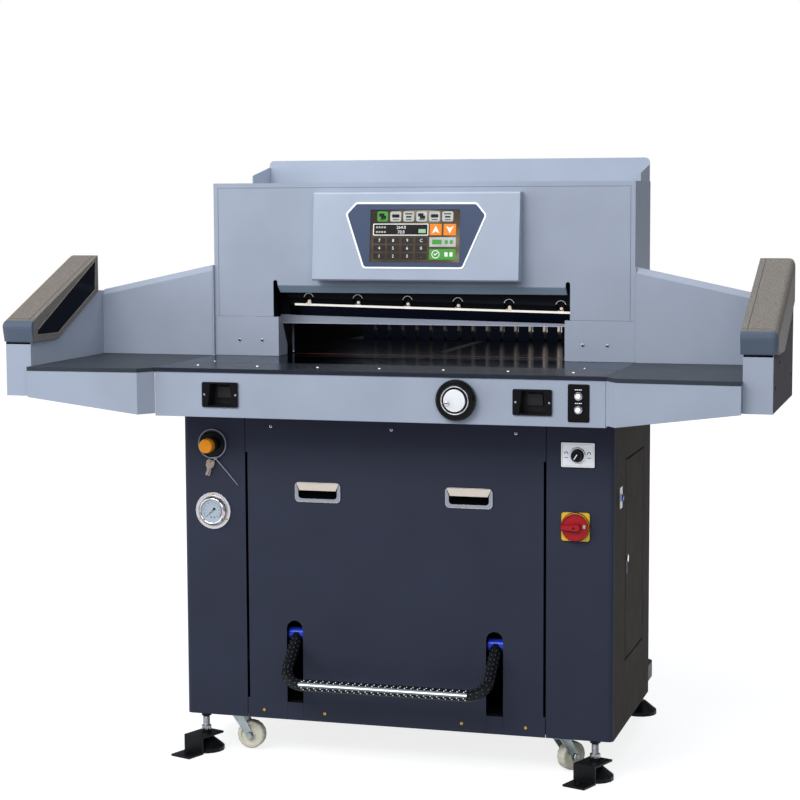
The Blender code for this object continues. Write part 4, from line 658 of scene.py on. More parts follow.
# Push-button plate with its rings, caps and plain marks
push_face, push_radius, push_thick = facing_front(-0.1545), 0.0092, 0.0012
push_corners = (0.452, 0.856), (0.501, 0.941)
push_spots = {"upper": (0.476, 0.914), "lower": (0.476, 0.8838)}
push_mark = (-0.0014, 0.0135), (0.0014, 0.0155)


def push_plate():
    spots = push_spots.values()
    outline, holes = rounded(*push_corners, 0.004), [ring(spot, push_radius) for spot in spots]
    plates("push_plate", "gloss_black", [(push_face, outline, hair, push_thick, holes)])
    profile = [(push_radius, 0), (push_radius, 0.0026), (0.0085, 0.0034), (0.0072, 0.0036), (0.0066, 0.003),
        (0.0064, 0.0002)]
    lathe("push_rings", "chrome", [(push_face, spot, profile) for spot in spots])
    marks = [spun(rounded(*push_mark, 0.0004, 2), (a + shift, b), 0) for a, b in spots
        for shift in (-0.0062, -0.0022, 0.0022, 0.0062)]
    plates("push_marks", "white_with_painted_glow", [(push_face, mark, push_thick, push_thick + 0.0002)
        for mark in marks])
    profile = mm(5.9, -4, 5.9, -0.4, 5.2, 0.5, 3, 0.9, 0, 1)
    for name, spot in push_spots.items():
        lathe("push_cap_" + name, "white_with_painted_glow", [(facing_front(-0.1625), spot, profile)],
            "push_button_" + name)


push_plate()


# Handwheel trim: bright ring, pale disc with its knob, and the grip's ribs
wheel_face, wheel_spot, wheel_knob_spot = facing_front(-0.1748), (0.198, 0.9), (0.1815, 0.893)


def wheel_part(name, finish, centre, profile, sides=64):
    lathe("wheel_" + name, finish, [(wheel_face, centre, profile, sides)], "handwheel")


wheel_part("ring", "chrome", wheel_spot, mm(32.5, 0, 32.5, 2.6, 31.8, 3.2, 30.6, 3.2, 29.8, 2.6,
    29.8, 0))
wheel_part("disc", "satin_disc", wheel_spot, mm(25.4, 0, 25.4, 5, 24.6, 6, 23.2, 5.8, 0, 5.6))
wheel_part("knob", "chrome", wheel_knob_spot, mm(5.8, 5, 5.8, 9.6, 5, 11.2, 2.8, 12, 0, 12.1), 32)
lathe("wheel_grip", "gloss_black", [(wheel_face, spot, mm(1.1, -15, 1.1, -4.5, 0, -3.8), 6)
    for spot in ring(wheel_spot, 0.0462, 48)], "handwheel")


# Bezel and touch screen, drawn on the control box's slanted front
box_foot, box_brow = at(0, 0.1887, 1.155), at(0, 0.2087, 1.363)
screen_width, screen_height, screen_middle, screen_sink = 0.226, 0.128, 0.106, 0.002
bezel_corners = mm(-177, 160.7, -130, 26.6, 123, 26.4, 180, 157.3, 154.5, 187.4, -150.5, 188.5)
bezel_rim, bezel_thick, bezel_round = 0.0042, 0.0012, 0.01
picture_rise = 0.0003
slanted_plane = Plane(box_foot, (1, 0, 0), box_brow - box_foot)
glass_plane = Plane(slanted_plane.point(0, 0, -screen_sink), (1, 0, 0), box_brow - box_foot)


def directions(points, i):
    """A corner of an outline, and the directions to the points before and after it."""
    corner = Vector(points[i])
    after = Vector(points[(i + 1) % len(points)])
    return corner, (Vector(points[i - 1]) - corner).normalized(), (after - corner).normalized()


def eased(points, radius, steps=5):
    """An outline with its corners rounded."""
    made = []
    for i in range(len(points)):
        corner, before, after = directions(points, i)
        half = before.angle(after) / 2
        reach = radius / math.tan(half)
        centre = corner + (before + after).normalized() * radius / math.sin(half)
        start, end = corner + before * reach - centre, corner + after * reach - centre
        turn = start.angle_signed(end)
        for step in range(steps + 1):
            spoke = start.copy()
            spoke.rotate(Matrix.Rotation(-turn * step / steps, 2))
            made.append(tuple(centre + spoke))
    return made


def inset(points, distance):
    """An outline of an anticlockwise polygon, moved in by a distance."""
    made = []
    for i in range(len(points)):
        corner, before, after = directions(points, i)
        across = (-before).orthogonal()
        inward = (across + after.orthogonal()).normalized()
        made.append(tuple(corner + inward * distance / inward.dot(across)))
    return made


def on_screen(u, v):
    """A point of the picture from its shares across and down."""
    return (u - 0.5) * screen_width, screen_middle + (0.5 - v) * screen_height


def patch(form, u, v, radius, low=0.5, high=1.0):
    """A rounded tile between two shares across and two down, its sides in picture rises."""
    (a0, b1), (a1, b0) = on_screen(u[0], v[0]), on_screen(u[1], v[1])
    slab(form, glass_plane, rounded((a0, b0), (a1, b1), radius, 4), low * picture_rise, high * picture_rise)


def screen_piece(name, finish, form):
    piece("screen_" + name, finish, form)


def screen_text(name, text, centre, height, lift):
    numeral("screen_" + name, text, glass_plane, centre, height, "key_white",
        lift * picture_rise)


def bezel():
    (a0, b1), (a1, b0) = on_screen(0, 0), on_screen(1, 1)
    low, high = (a0, b0), (a1, b1)
    inner = eased(inset(bezel_corners, bezel_rim), bezel_round - bezel_rim / 2)
    rim = (slanted_plane, eased(bezel_corners, bezel_round), hair, bezel_thick, [inner])
    plate = (slanted_plane, inset(inner, hair), hair, bezel_thick * 0.8, [rounded(low, high, 0.001)])
    glass = (glass_plane, grown(low, high, -0.0005, 0.001), 0, picture_rise / 2)
    plates("bezel_rim", "white_with_painted_glow", [rim])
    plates("bezel_plate", "bezel_blue", [plate])
    plates("screen_picture", "screen_picture", [glass])


icon_columns = [(0.075, 0.194), (0.22, 0.344), (0.366, 0.489), (0.512, 0.632), (0.654, 0.777),
    (0.801, 0.923)]
icon_row = (0.03, 0.222)
key_columns = [(0.037, 0.169), (0.19, 0.325), (0.353, 0.48), (0.508, 0.637)]
key_rows = [(0.528, 0.64), (0.671, 0.79), (0.824, 0.943)]
key_marks, mark_names = ["789C", "4560", "123."], {"C": "clear", ".": "point"}
arrow_columns, arrow_row = [(0.666, 0.798), (0.819, 0.957)], (0.268, 0.482)
arrow_reach, arrow_tall, number_height, key_height = 0.0098, 0.0092, 0.0078, 0.0076
readout_area, chip_area = ((0.03, 0.65), (0.262, 0.488)), ((0.54, 0.622), (0.366, 0.44))
readout_lines = [("size", "264.0", 0.335), ("target", "70.0", 0.424)]
action_column, action_rows = (0.664, 0.957), [(0.52, 0.7), (0.744, 0.943)]
action_bars, tick_spot = [(0.835, 0.869), (0.89, 0.924)], (0.735, 0.843)
tick = mm(5.6, 3.2, 4.2, 4.6, -1.2, -0.4, -3.6, 2.2, -5, 0.8, -1.2, -3.4)


def icons():
    plain, green, glyph = bmesh.new(), bmesh.new(), bmesh.new()
    v0, v1 = icon_row[0] + 0.035, icon_row[1] - 0.03
    middle = (v0 + v1) / 2
    for i, (u0, u1) in enumerate(icon_columns):
        patch(plain if i else green, (u0, u1), icon_row, 0.0045)
        step = (u1 - u0) / 6
        marks = [(1.4, 1.4, v1 - 0.012, v1 + 0.004, 0.0004, 1.4)]
        if i % 3 == 0:
            marks += [(1, 2, v0, middle, 0.001, 1.5), (2, 1, middle - 0.02, v1 - 0.02, 0.001, 1.4)]
        elif i % 3 == 1:
            marks += [(1, 1, v0 + 0.02, middle + 0.02, 0.0022, 1.5)]
        else:
            marks.append((1, 1, v0, v0 + 0.022, 0.0006, 1.5))
            marks.append((1.5, 1.5, middle - 0.012, middle + 0.02, 0.0008, 1.5))
        for left, right, top, foot, radius, high in marks:
            patch(glyph, (u0 + left * step, u1 - right * step), (top, foot), radius, 1, high)
    screen_piece("icons", "key_silver", plain)
    screen_piece("icon_green", "key_green", green)
    screen_piece("glyphs", "key_dark", glyph)


def readout():
    (u0, u1), (v0, v1) = readout_area
    edge, low, chip, bars = bmesh.new(), bmesh.new(), bmesh.new(), bmesh.new()
    patch(edge, (u0, u1), (v0, v1), 0.0025)
    patch(low, (u0 + 0.01, u1 - 0.01), (v0 + 0.016, v1 - 0.016), 0.0015, 1, 1.3)
    patch(chip, *chip_area, 0.0008, 1.3, 1.7)
    for name, text, v in readout_lines:
        screen_text(name, text, on_screen(0.345, v), number_height, 1.6)
        for u in (0.062, 0.092, 0.122, 0.152):
            patch(bars, (u, u + 0.022), (v - 0.02, v + 0.014), 0.0006, 1.3, 1.6)
    screen_piece("readout_edge", "key_white", edge)
    screen_piece("readout", "key_dark", low)
    screen_piece("readout_chip", "key_mint", chip)
    screen_piece("readout_marks", "key_grey", bars)


def keypad():
    keys = bmesh.new()
    for row, marks in zip(key_rows, key_marks):
        for column, mark in zip(key_columns, marks):
            patch(keys, column, row, 0.0006)
            centre = on_screen(sum(column) / 2, sum(row) / 2)
            screen_text("key_" + mark_names.get(mark, mark), mark, centre, key_height, 1.2)
    screen_piece("keys", "key_smoke", keys)


def arrows():
    tiles, marks = bmesh.new(), bmesh.new()
    for column, way in zip(arrow_columns, (1, -1)):
        patch(tiles, column, arrow_row, 0.0005)
        a, b = on_screen(sum(column) / 2, sum(arrow_row) / 2)
        tall = arrow_tall * way
        arrow = [(-arrow_reach, -tall), (0, -tall * 0.45), (arrow_reach, -tall), (0, tall)]
        slab(marks, glass_plane, spun(arrow, (a, b), 0), picture_rise, picture_rise * 1.4)
    screen_piece("arrow_tiles", "key_orange", tiles)
    screen_piece("arrows", "key_white", marks)


def actions():
    silver, green, light, inner = bmesh.new(), bmesh.new(), bmesh.new(), bmesh.new()
    patch(silver, action_column, action_rows[0], 0.0008)
    patch(green, action_column, action_rows[1], 0.0008)
    patch(inner, (0.695, 0.8), (0.565, 0.655), 0.001, 1, 1.4)
    for column in action_bars:
        patch(inner, column, (0.575, 0.645), 0.0006, 1, 1.3)
        patch(light, column, (0.805, 0.885), 0.0006, 1, 1.3)
    centre = on_screen(*tick_spot)
    slab(light, glass_plane, ring(centre, 0.01), picture_rise, picture_rise * 1.3, [ring(centre, 0.0082)])
    slab(light, glass_plane, spun(tick, centre, 0), picture_rise, picture_rise * 1.4)
    screen_piece("action_silver", "key_silver", silver)
    screen_piece("action_green", "key_green", green)
    screen_piece("action_bar", "key_green", inner)
    screen_piece("action_marks", "key_white", light)


bezel()
icons()
readout()
keypad()
arrows()
actions()


# Amber push button with the tie and keys hung on it
amber_spot = (-0.4556, 0.761)
tie_centre, tie_radius, tie_plane = (-0.4531, 0.7627), 0.035, facing_front(-0.006)
key_outline = mm(-11, -6, -7.5, -1, 7, -0.5, 10.8, -7, 8.5, -17, 4.5, -20, 3.5, -22.5, 3.5, -37.5, 1.2, -41,
    -3, -39, -3, -30, -1.6, -28.5, -3.4, -26.2, -5, -21.5, -9.5, -16.5)
key_hole = ring((0, -0.0048), 0.0026, 16)


def tube(form, points, radii, sides=12, flat=1.0):
    """A tube through points, with its own radius at each, flattened across its side direction."""
    rings = []
    for i, (point, radius) in enumerate(zip(points, radii)):
        before, after = points[max(i - 1, 0)], points[min(i + 1, len(points) - 1)]
        along = (after - before).normalized()
        across = along.cross(Vector((0, 1, 0)))
        across = across.normalized() if across.length > hair else Vector((1, 0, 0))
        deep = along.cross(across)
        rings.append([form.verts.new(point + across * a + deep * b * flat)
            for a, b in ring((0, 0), radius, sides)])
    joined(form, rings)
    form.faces.new(rings[0])
    form.faces.new(rings[-1])


def amber_look():
    """Cap, ribbed collar and neck of the amber button, over a round black base."""
    lathe("amber_base", "gloss_black", [(front_plane, amber_spot,
        [(0.0305, hair), (0.0305, 0.003), (0.0292, 0.0042), (0.019, 0.0048), (0.0152, 0.0048),
        (0.0152, hair)], 48)])
    lathe("amber_neck", "gloss_black", [(front_plane, amber_spot,
        mm(0, 6.6, 10.8, 6.6, 14.6, 13.5, 14.6, 24, 14.2, 26.2, 0, 26.2), 40)], "amber_button")
    ribs = [(front_plane, spot, mm(1.1, 25, 1.1, 38.5, 0, 39.2), 8)
        for spot in ring(amber_spot, 0.0168, 36)]
    body = mm(0, 24.5, 16.3, 24.5, 17, 25.5, 17, 39, 16.6, 41.2, 16.8, 41.8, 16.8, 43.6, 15.8, 44.9, 0, 45)
    cap = lathe("amber_cap", "amber_cap", [*ribs, (front_plane, amber_spot, body, 56)],
        "amber_button", 30)
    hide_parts("amber_button")


def tie_and_keys():
    """A nylon tie round the button with a loose tail, and two keys on a ring."""
    form = bmesh.new()
    loop = [tie_plane.point(*spot) for spot in arc(tie_centre, tie_radius, -75, 280, 48)]
    tube(form, loop, [0.0016] * len(loop), 10, 0.5)
    slab(form, tie_plane, rounded((-0.449, 0.724), (-0.4405, 0.7315), 0.0008), -0.0018, 0.0024)
    (a0, b0), (a1, b1) = (-0.4447, 0.7265), (-0.3874, 0.6631)
    tail = [tie_plane.point(a0 + (a1 - a0) * share, b0 + (b1 - b0) * share,
        -0.002 * math.sin(share * math.pi)) for share in (0, 0.2, 0.4, 0.6, 0.8, 1.0)]
    tube(form, tail, [0.0015, 0.0014, 0.0012, 0.0011, 0.001, 0.0006], 10, 0.5)
    piece("key_tie", "nylon_tie", form)
    plates("keys", "key_steel", [(tie_plane, spun(key_outline, top, turn), low, low + 0.0013,
        [spun(key_hole, top, turn)]) for top, turn, low in (((-0.4555, 0.724), -12, -0.002),
        ((-0.4552, 0.7236), -20, 0.0006))])
    form = bmesh.new()
    loop = [tie_plane.point(*polar((-0.4535, 0.7235), 0.0062, turn),
        0.0012 * math.sin(math.radians(2 * turn))) for turn in range(0, 361, 15)]
    tube(form, loop, [0.0006] * len(loop), 8)
    piece("key_ring", "turned_steel", form)


amber_look()
tie_and_keys()


# Pressure gauge: dial, needle, scale and the flange's screws
dial_spot, dial_plane, flange_plane = (-0.454, 0.599), facing_front(-0.0093), facing_front(-0.0033)
scale_start, scale_sweep, needle_turn, dial_mark = 225, 270, 224, (0.0004, 0.0006)


def dial_plates(name, finish, rows):
    plates("dial_" + name, finish, rows)


def dial_lathe(name, finish, rows):
    lathe("dial" + name, finish, rows)


def gauge_trim():
    x, z = dial_spot
    dial_lathe("", "dial_face", [(dial_plane, dial_spot, mm(28.5, 0.1, 28.5, 0.4, 0, 0.4), 48)])
    marks = []
    for step in range(51):
        inner, half = (0.0196, 0.00035) if step % 5 == 0 else (0.0212, 0.00018)
        marks.append(spun(rectangle(inner, 0.0228, -half, half), dial_spot,
            scale_start - scale_sweep * step / 50))
    dial_plates("marks", "gloss_black", [(dial_plane, mark, *dial_mark) for mark in marks])
    dial_plates("red", "switch_red", [(dial_plane, arc_band(dial_spot, 0.025, 0.0232, 32, -34, 16),
        *dial_mark)])
    dial_lathe("_dots", "gloss_black", [(dial_plane, (x + shift, z - 0.015), mm(1.6, 0.4, 1.6, 0.6, 0, 0.6),
        16) for shift in (-0.003, 0.0058)])
    for step in range(11):
        centre = polar(dial_spot, 0.0162, scale_start - scale_sweep * step / 10)
        numeral("dial_number_%d" % step, str(step), dial_plane, centre, 0.0026, "key_dark",
            0.0005)
    needle = bmesh.new()
    tip = mm(21, 0, 0, -0.9, -5, -0.6, -5, 0.6, 0, 0.9)
    slab(needle, dial_plane, spun(tip, dial_spot, needle_turn), 0.0012, 0.0016)
    turned(needle, dial_plane, polar(dial_spot, -0.0078, needle_turn), mm(3.1, 1.2, 3.1, 1.7, 0, 1.7), 20)
    piece("dial_needle", "gloss_black", needle)
    dial_lathe("_hub", "brass", [(dial_plane, dial_spot, mm(1.7, 0.6, 1.7, 2.3, 1.2, 2.7, 0, 2.7), 20)])
    dial_lathe("_ring", "chrome", [(facing_front(-0.012), dial_spot,
        mm(31, 0, 31.8, 0.9, 30.2, 1.8, 28.6, 1, 28.2, -2.2), 56)])
    dial_lathe("_flange", "satin_steel", [(flange_plane, dial_spot,
        [(0.0343, hair), (0.0352, 0.0012), (0.0372, 0.0016), (0.0385, 0.001), (0.0388, hair)], 56)])
    screws("dial_screws", "brass", flange_plane, [polar(dial_spot, 0.0405, turn)
        for turn in (90, 210, 330)], 0.0026)


gauge_trim()


# Selector: back plate, printed plate with plain marks, collar, ribbed grip and pointer
selector_spot, selector_low, selector_high = (0.444, 0.762), (0.4036, 0.7324), (0.486, 0.7936)
selector_hole, selector_grip, pointer_turn = 0.0192, 0.0124, 57
back_top, plate_top, line_top, mark_top = 0.001, 0.0013, 0.00142, 0.00145


def selector_plate(name, finish, outline, low, high, hole):
    plates("selector_" + name, finish, [(front_plane, outline, low, high, [hole])])


def selector_trim():
    corners, hole = (selector_low, selector_high), ring(selector_spot, selector_hole)
    selector_plate("back", "gloss_black", rounded(*corners, 0.003), hair / 2, back_top, hole)
    selector_plate("plate", "white_with_painted_glow", grown(*corners, -0.0022, 0.0018), back_top, plate_top, hole)
    selector_plate("line", "key_grey", grown(*corners, -0.005, 0.0008), plate_top, line_top,
        grown(*corners, -0.0058, 0.0006))
    marks = []
    for a, way in ((0.418, -1), (0.471, 1)):
        hook = arc_band((a, 0.766), 0.0048, 0.003, 200, -30, 10)
        marks.append([(2 * a - p, q) if way > 0 else (p, q) for p, q in hook])
        marks.append(rectangle(a - 0.0048, a + 0.0048, 0.756, 0.7575))
    plates("selector_marks", "key_dark", [(front_plane, mark, plate_top, mark_top)
        for mark in marks])
    lathe("selector_collar", "chrome", [(front_plane, selector_spot,
        mm(18.9, 1, 18.9, 3.4, 17.8, 4.6, 16, 4.8, 14.6, 4.4, 14.3, 3), 48)], "selector")
    knob = [(selector_grip, 0.003), (selector_grip, 0.019), (0.0116, 0.0206), (0, 0.0206)]
    ribs = [(front_plane, spot, mm(0.7, 5, 0.7, 17.6, 0, 18.2), 6)
        for spot in ring(selector_spot, selector_grip, 26)]
    grip = lathe("selector_grip", "gloss_black",
        [(front_plane, selector_spot, knob, 40), *ribs], "selector")
    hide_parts("selector_knob")
    pointer = spun(rounded((-0.0085, -0.0012), (0.005, 0.0012), 0.0006), selector_spot, pointer_turn)
    plates("selector_pointer", "key_white", [(front_plane, pointer, 0.0204, 0.0216)],
        "selector")


# Main switch: yellow collar with black marks and a black ring, partly painted shadow; dished red disc,
# pointed grip and pale marker
switch_spot = (0.441, 0.5965)
switch_face, switch_disc, switch_grip = facing_front(-0.0063), facing_front(-0.01), facing_front(-0.016)
grip_upper = mm(-31.5, 3, -27, 6.2, 6, 9.8, 12.5, 7.8, 14.6, 3.4)
grip_outline = grip_upper + [(a, -b) for a, b in reversed(grip_upper)]
switch_slots = [mm(454, 623.6, 456.2, 622.8, 458, 627.2, 455.8, 628),
    mm(424, 565.4, 426.2, 564.6, 428, 569, 425.8, 569.8)]


def switch_look():
    x, z = switch_spot
    lathe("switch_collar", "switch_yellow", [(switch_face, switch_spot,
        [(0.0322, hair), (0.0322, 0.0028), (0.03, 0.0034), (0, 0.0034)], 56)])
    # A black ring round the collar, partly its dark outline and partly painted shadow, with the plate's
    # black marks beside it.
    outer, inner = ring(switch_spot, 0.034, 56), ring(switch_spot, 0.0324, 56)
    slots = [(switch_face, slot, hair, 0.0005) for slot in switch_slots]
    plates("switch_marks", "gloss_black", [(switch_face, outer, hair / 2, 0.0005, [inner]),
        *slots])
    form = bmesh.new()
    turned(form, switch_disc, switch_spot, mm(30.8, 0, 31.6, 1.4, 31.6, 6.2, 30.6, 7.2, 28.6, 7.2, 27.2,
        5.8, 0, 5.8), 64)
    rings = []
    for long, wide, height in ((1, 1, -0.0004), (1, 1, 0.0092), (0.93, 0.72, 0.0124)):
        outline = [(x + a * long, z + b * wide) for a, b in grip_outline]
        rings.append(ring_of(form, switch_grip, outline, height))
    joined(form, rings)
    form.faces.new(rings[0])
    form.faces.new(rings[-1])
    handle = piece("switch_grip", "switch_red", form, "main_switch", 30)
    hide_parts("main_switch_handle")
    lathe("switch_hole", "gloss_black", [(switch_grip, (x - 0.001, z),
        mm(2.6, 12.4, 2.6, 12.8, 1.8, 12.8, 1.6, 12.5, 0, 12.5), 20)], "main_switch")
    marker = rounded((x + 0.0195, z - 0.0016), (x + 0.025, z + 0.0064), 0.0008)
    plates("switch_marker", "key_mint", [(switch_grip, marker, -0.0001, 0.0005)],
        "main_switch")


selector_trim()
switch_look()


# Knife, its carrier's pockets and bolts, the clamp's face and the throat
carrier_plane, blade_plane, clamp_plane = facing_front(0.2997), facing_front(0.322), facing_front(0.3345)
edge_middle_x, edge_middle_z, edge_slope = 0.0135, 1.05003, 0.0192
blade_ends, carrier_ends, blade_break = (-0.368, 0.395), (-0.365, 0.392), -0.352
bevel_top, carrier_foot, carrier_top, pocket_centre = 0.026, 0.032, 1.156, 0.0455
pocket_places = [-0.3073 + 0.1298 * i for i in range(6)]
pocket_radius, pocket_floor = 0.012, facing_front(0.2997 + 0.014)
pinned = (0, 4)
comb_half, comb_fingers = 0.34255, 17


def edge_at(x, above=0.0):
    """Height over the inclined cutting edge at x."""
    return edge_middle_z - edge_slope * (x - edge_middle_x) + above


def sloped(start, end, low, high):
    """A band between two heights over the cutting edge."""
    return [(start, edge_at(start, low)), (end, edge_at(end, low)), (end, edge_at(end, high)),
        (start, edge_at(start, high))]


def blade_look():
    main = sloped(blade_break, blade_ends[1] - 0.0005, bevel_top - 0.0006, carrier_foot + 0.004)
    end = sloped(blade_ends[0] + 0.0004, blade_break, bevel_top + 0.0004, carrier_foot + 0.0035)
    # The knife's bevel as a glowing white strip: a painted reflection.
    plates("blade_strip", "painted_highlight_white", [(blade_plane, main, hair, 0.001)], "knife_beam")
    plates("blade_strip_end", "blade_steel", [(blade_plane, end, hair, 0.0006)],
        "knife_beam")


def cast_band():
    """The rough cast upper part of the carrier's front, open round the six pockets."""
    start, end = carrier_ends
    outline = [(start, edge_at(start, pocket_centre + 0.001))]
    for x in pocket_places:
        outline += arc((x, edge_at(x, pocket_centre)), pocket_radius + 0.0018, 180, 0, 12)
    outline += [(end, edge_at(end, pocket_centre + 0.001)), (end, carrier_top), (start, carrier_top)]
    plates("carrier_band", "cast_black", [(carrier_plane, outline, hair, 0.0008)],
        "knife_beam")


def pockets():
    """Painted highlights on the pockets' upper rims and walls, and the bolts, washers and pale pins in
    them, the pins with a painted glow.
    """
    rims, heads, pins, walls = bmesh.new(), bmesh.new(), bmesh.new(), bmesh.new()
    for i, x in enumerate(pocket_places):
        z = edge_at(x, pocket_centre)
        # Painted highlights on the upper rim and the walls of each pocket.
        slab(rims, carrier_plane, arc_band((x, z), 0.0134, 0.0119, 15, 165, 14), -0.001, 0.0007)
        for near, far, lean in ((-0.0073, -0.0061, 0.0004), (0.0061, 0.0073, -0.0004)):
            wall = [(x + near, z - 0.015), (x + far, z - 0.015), (x + far + lean, z - 0.0108),
                (x + near + lean, z - 0.0108)]
            slab(rims, carrier_plane, wall, 0.0, 0.0005)
        turned(heads, pocket_floor, (x, z), [(0.0092, hair), (0.0092, 0.0092), (0.0084, 0.0104),
            (0.0052, 0.0104)], 28)
        turned(heads, pocket_floor, (x, z), mm(5.2, 10.4, 5, 5, 0, 4.6), 6)
        turned(walls, pocket_floor, (x, z), [(0.0105, hair), (0.0105, 0.0016), (0.0092, 0.0018)], 24)
        a, b = x + 0.0012, z - 0.0072
        turned(pins, pocket_floor, (a, b), mm(4, 10, 4, 13.5, 2.8, 15, 0, 15.3), 16)
        if i in pinned:
            low, high = edge_at(x, bevel_top + 0.003), b + 0.002
            slab(pins, pocket_floor, [(a - 0.005, low), (a + 0.005, low), (a + 0.0032, high),
                (a - 0.0032, high)], 0.0122, 0.015)
    piece("pocket_rim_highlights", "white_dot_and_painted_highlight", rims, "knife_beam")
    piece("pocket_bolts", "gloss_black", heads, "knife_beam")
    piece("pocket_washers", "black_steel", walls, "knife_beam")
    piece("pocket_pins", "pin_painted_glow", pins, "knife_beam")


def throat():
    """The tables' polish; painted shade on the tables in the throat, on the guides' inner walls and on the
    slot's walls; the guides' pale ends; and painted shade under the lead screw's slot.
    """
    bed = [(top_plane, rectangle(-0.3624, 0.3624, y0, y1), hair / 4, 0.00018)
        for y0, y1 in ((0.244, 0.3275), (0.3385, 0.4486))]
    bed += both_sides(top_plane, 0.0135, 0.3822, 0.45, 0.864, hair / 4, 0.00015)
    plates("throat_painted_shade", "throat_painted_shade", bed)
    plates("rear_polish", "rear_polish", both_sides(top_plane, 0.0135, 0.3822, 0.986, 1.166,
        hair / 4, 0.00015))
    walls, shade_plates = [], both_sides(top_plane, 0.3629, 0.3826, 0.244, 0.4486, -0.0084, -hair)
    for way in (-1, 1):
        slot_wall = to_side(way, rectangle(0.466, 1.1535, 0.9474, 0.9585))
        walls.append((facing_side(way, -way * 0.013), slot_wall, hair / 4, 0.0003))
        guide_wall = to_side(way, rectangle(0.4045, 1.169, 0.96, 1.063))
        shade_plates.append((facing_side(way, -way * 0.383), guide_wall, hair, 0.0006))
    plates("slot_walls", "seam_shadow", walls)
    plates("throat_shade", "dark_joint_and_painted_shade", shade_plates)
    plates("guide_ends", "guide_end", both_sides(facing_front(0.404), 0.3832, 0.3888, 0.9595,
        1.0635, hair, 0.0008))
    plates("screw_slot_shade", "dark_joint_and_painted_shade", [(facing_up(0.884),
        rectangle(-0.034, 0.034, 0.4655, 1.154), -0.0015, 0)])


def clamp_look():
    """The clamp's painted front face, and the bright edge along its foot."""
    for name, finish, low, high, foot, top in (("front", "clamp_paint", 1.0362, 1.0582, hair / 2, 0.0007),
            ("edge", "clamp_edge", 1.0358, 1.0372, 0.0007, 0.001)):
        strip = rectangle(-0.3955, 0.3955, low, high)
        plates("clamp_" + name, finish, [(clamp_plane, strip, foot, top)], "clamp")


def gap_lights():
    """Bright strips deep in the comb's upper gaps, and on the walls that the operator sees."""
    rows, pitch, half = [], 2 * comb_half / comb_fingers, 0.0061
    for index in range(1, comb_fingers):
        middle = (index - comb_fingers / 2) * pitch
        strip = rounded((middle - half, 0.986), (middle + half, 1.0375), 0.001, 3)
        rows.append((facing_front(0.913), strip, 0.0, 0.001))
        wall = rectangle(0.8654, 0.8946, 0.987, 1.044)
        rows.append((facing_side(1, middle - half - hair), wall, hair / 4, 0.0003))
    plates("gauge_gap_lights", "gap_light", rows, "gauge")


def laser_spots():
    """Painted light: two glowing spots of the red cutting line on the stick."""
    plates("line_spots", "cut_line_painted_light", [(top_plane,
        rounded((x - 0.0035, 0.3318), (x + 0.0035, 0.3342), 0.0008, 3), -hair / 4, hair / 4)
        for x in (-0.2927, 0.235)])


blade_look()
cast_band()
pockets()
throat()
clamp_look()
gap_lights()
laser_spots()


# Light-curtain housings: window, border and seams
housing_inner, housing_lip, housing_width = 0.834, 0.0135, 0.066
window_outline = mm(-160.5, 1031.6, -50.3, 1030, 165.5, 1125.6, 170.5, 1198.5, -155.8, 1045.2)
window_edges = [(4, 3, 0.0016), (0, 1, 0.0012), (1, 2, 0.0012), (2, 3, 0.001)]
housing_start, housing_end = (-0.182, 1.0661), (0.187, 1.211)


def strip_between(start, end, width):
    """A thin four-sided strip along a line."""
    start, end = Vector(start), Vector(end)
    across = (end - start).normalized().orthogonal() * width / 2
    return [tuple(start - across), tuple(end - across), tuple(end + across), tuple(start + across)]


def housing_look(side, name):
    face = facing_side(-side, side * housing_inner)
    plates("window_" + name, "curtain_window",
        [(face, to_side(-side, window_outline), -0.0011, -0.0004)])
    strips = [strip_between(window_outline[a], window_outline[b], width) for a, b, width in window_edges]
    plates("window_border_" + name, "housing_edge",
        [(face, to_side(-side, strip), hair, 0.0007) for strip in strips])
    (y0, z0), (y1, z1) = housing_start, housing_end
    length = math.hypot(y1 - y0, z1 - z0)
    slope = Plane(at(0, y0, z0), (1, 0, 0), (0, y1 - y0, z1 - z0))
    x = side * (housing_inner + housing_lip)
    low, high = sorted((side * (housing_inner + 0.001), side * (housing_inner + housing_width)))
    plates("housing_seam_" + name, "seam_shadow",
        [(slope, rectangle(x - 0.0005, x + 0.0005, 0.004, length - 0.003), hair / 2, 0.0003),
        (slope, rectangle(low, high, 0.0105, 0.0112), hair / 2, 0.0003)])


# The arms' outer faces under painted shade, with their screws, and painted shade in the gaps under the
# housings
arm_face, arm_front, arm_rear = 0.905, -0.1845, 0.2505
arm_screw_spots = mm(-150, 940, 215, 940, -60, 990, 215, 1060)
arm_outline = [(arm_front, 0.889), (arm_rear, 0.889), (arm_rear, 1.118), (0.19, 1.118), (-0.048, 1.0145),
    (arm_front, 1.0145)]


def arm_trim(side, name):
    face = facing_side(side, side * arm_face)
    screws("arm_screws_" + name, "black_steel", face, to_side(side, arm_screw_spots), 0.004)
    # Painted shade: a darker copy of the body's paint over the arm's outer face.
    plates("arm_cover_" + name, "arm_side_painted_shade", [(face, to_side(side, arm_outline), hair / 2,
        0.0004)])
    # Painted shade in the gaps between the arms and the housings.
    low, high = sorted((side * 0.8408, side * 0.9042))
    plates("arm_gap_" + name, "dark_joint_and_painted_shade", [(facing_front(-0.186),
        rectangle(low, high, 1.0105, 1.0152), hair, 0.0004)])


def head_flanges():
    """Folded edges that close the gap between the head cover and the back panels."""
    plates("head_flanges", "body_enamel", both_sides(facing_front(0.2245), 0.5351, 0.5389,
        0.96, 1.1866, -0.0135, -0.0005))


def apron_ends():
    """Returns that close the aprons' outer ends, beside the arms."""
    plates("apron_ends", "body_enamel", both_sides(facing_front(-0.2085), 0.8384, 0.8396,
        0.8885, 0.9485, -0.077, 0.0))


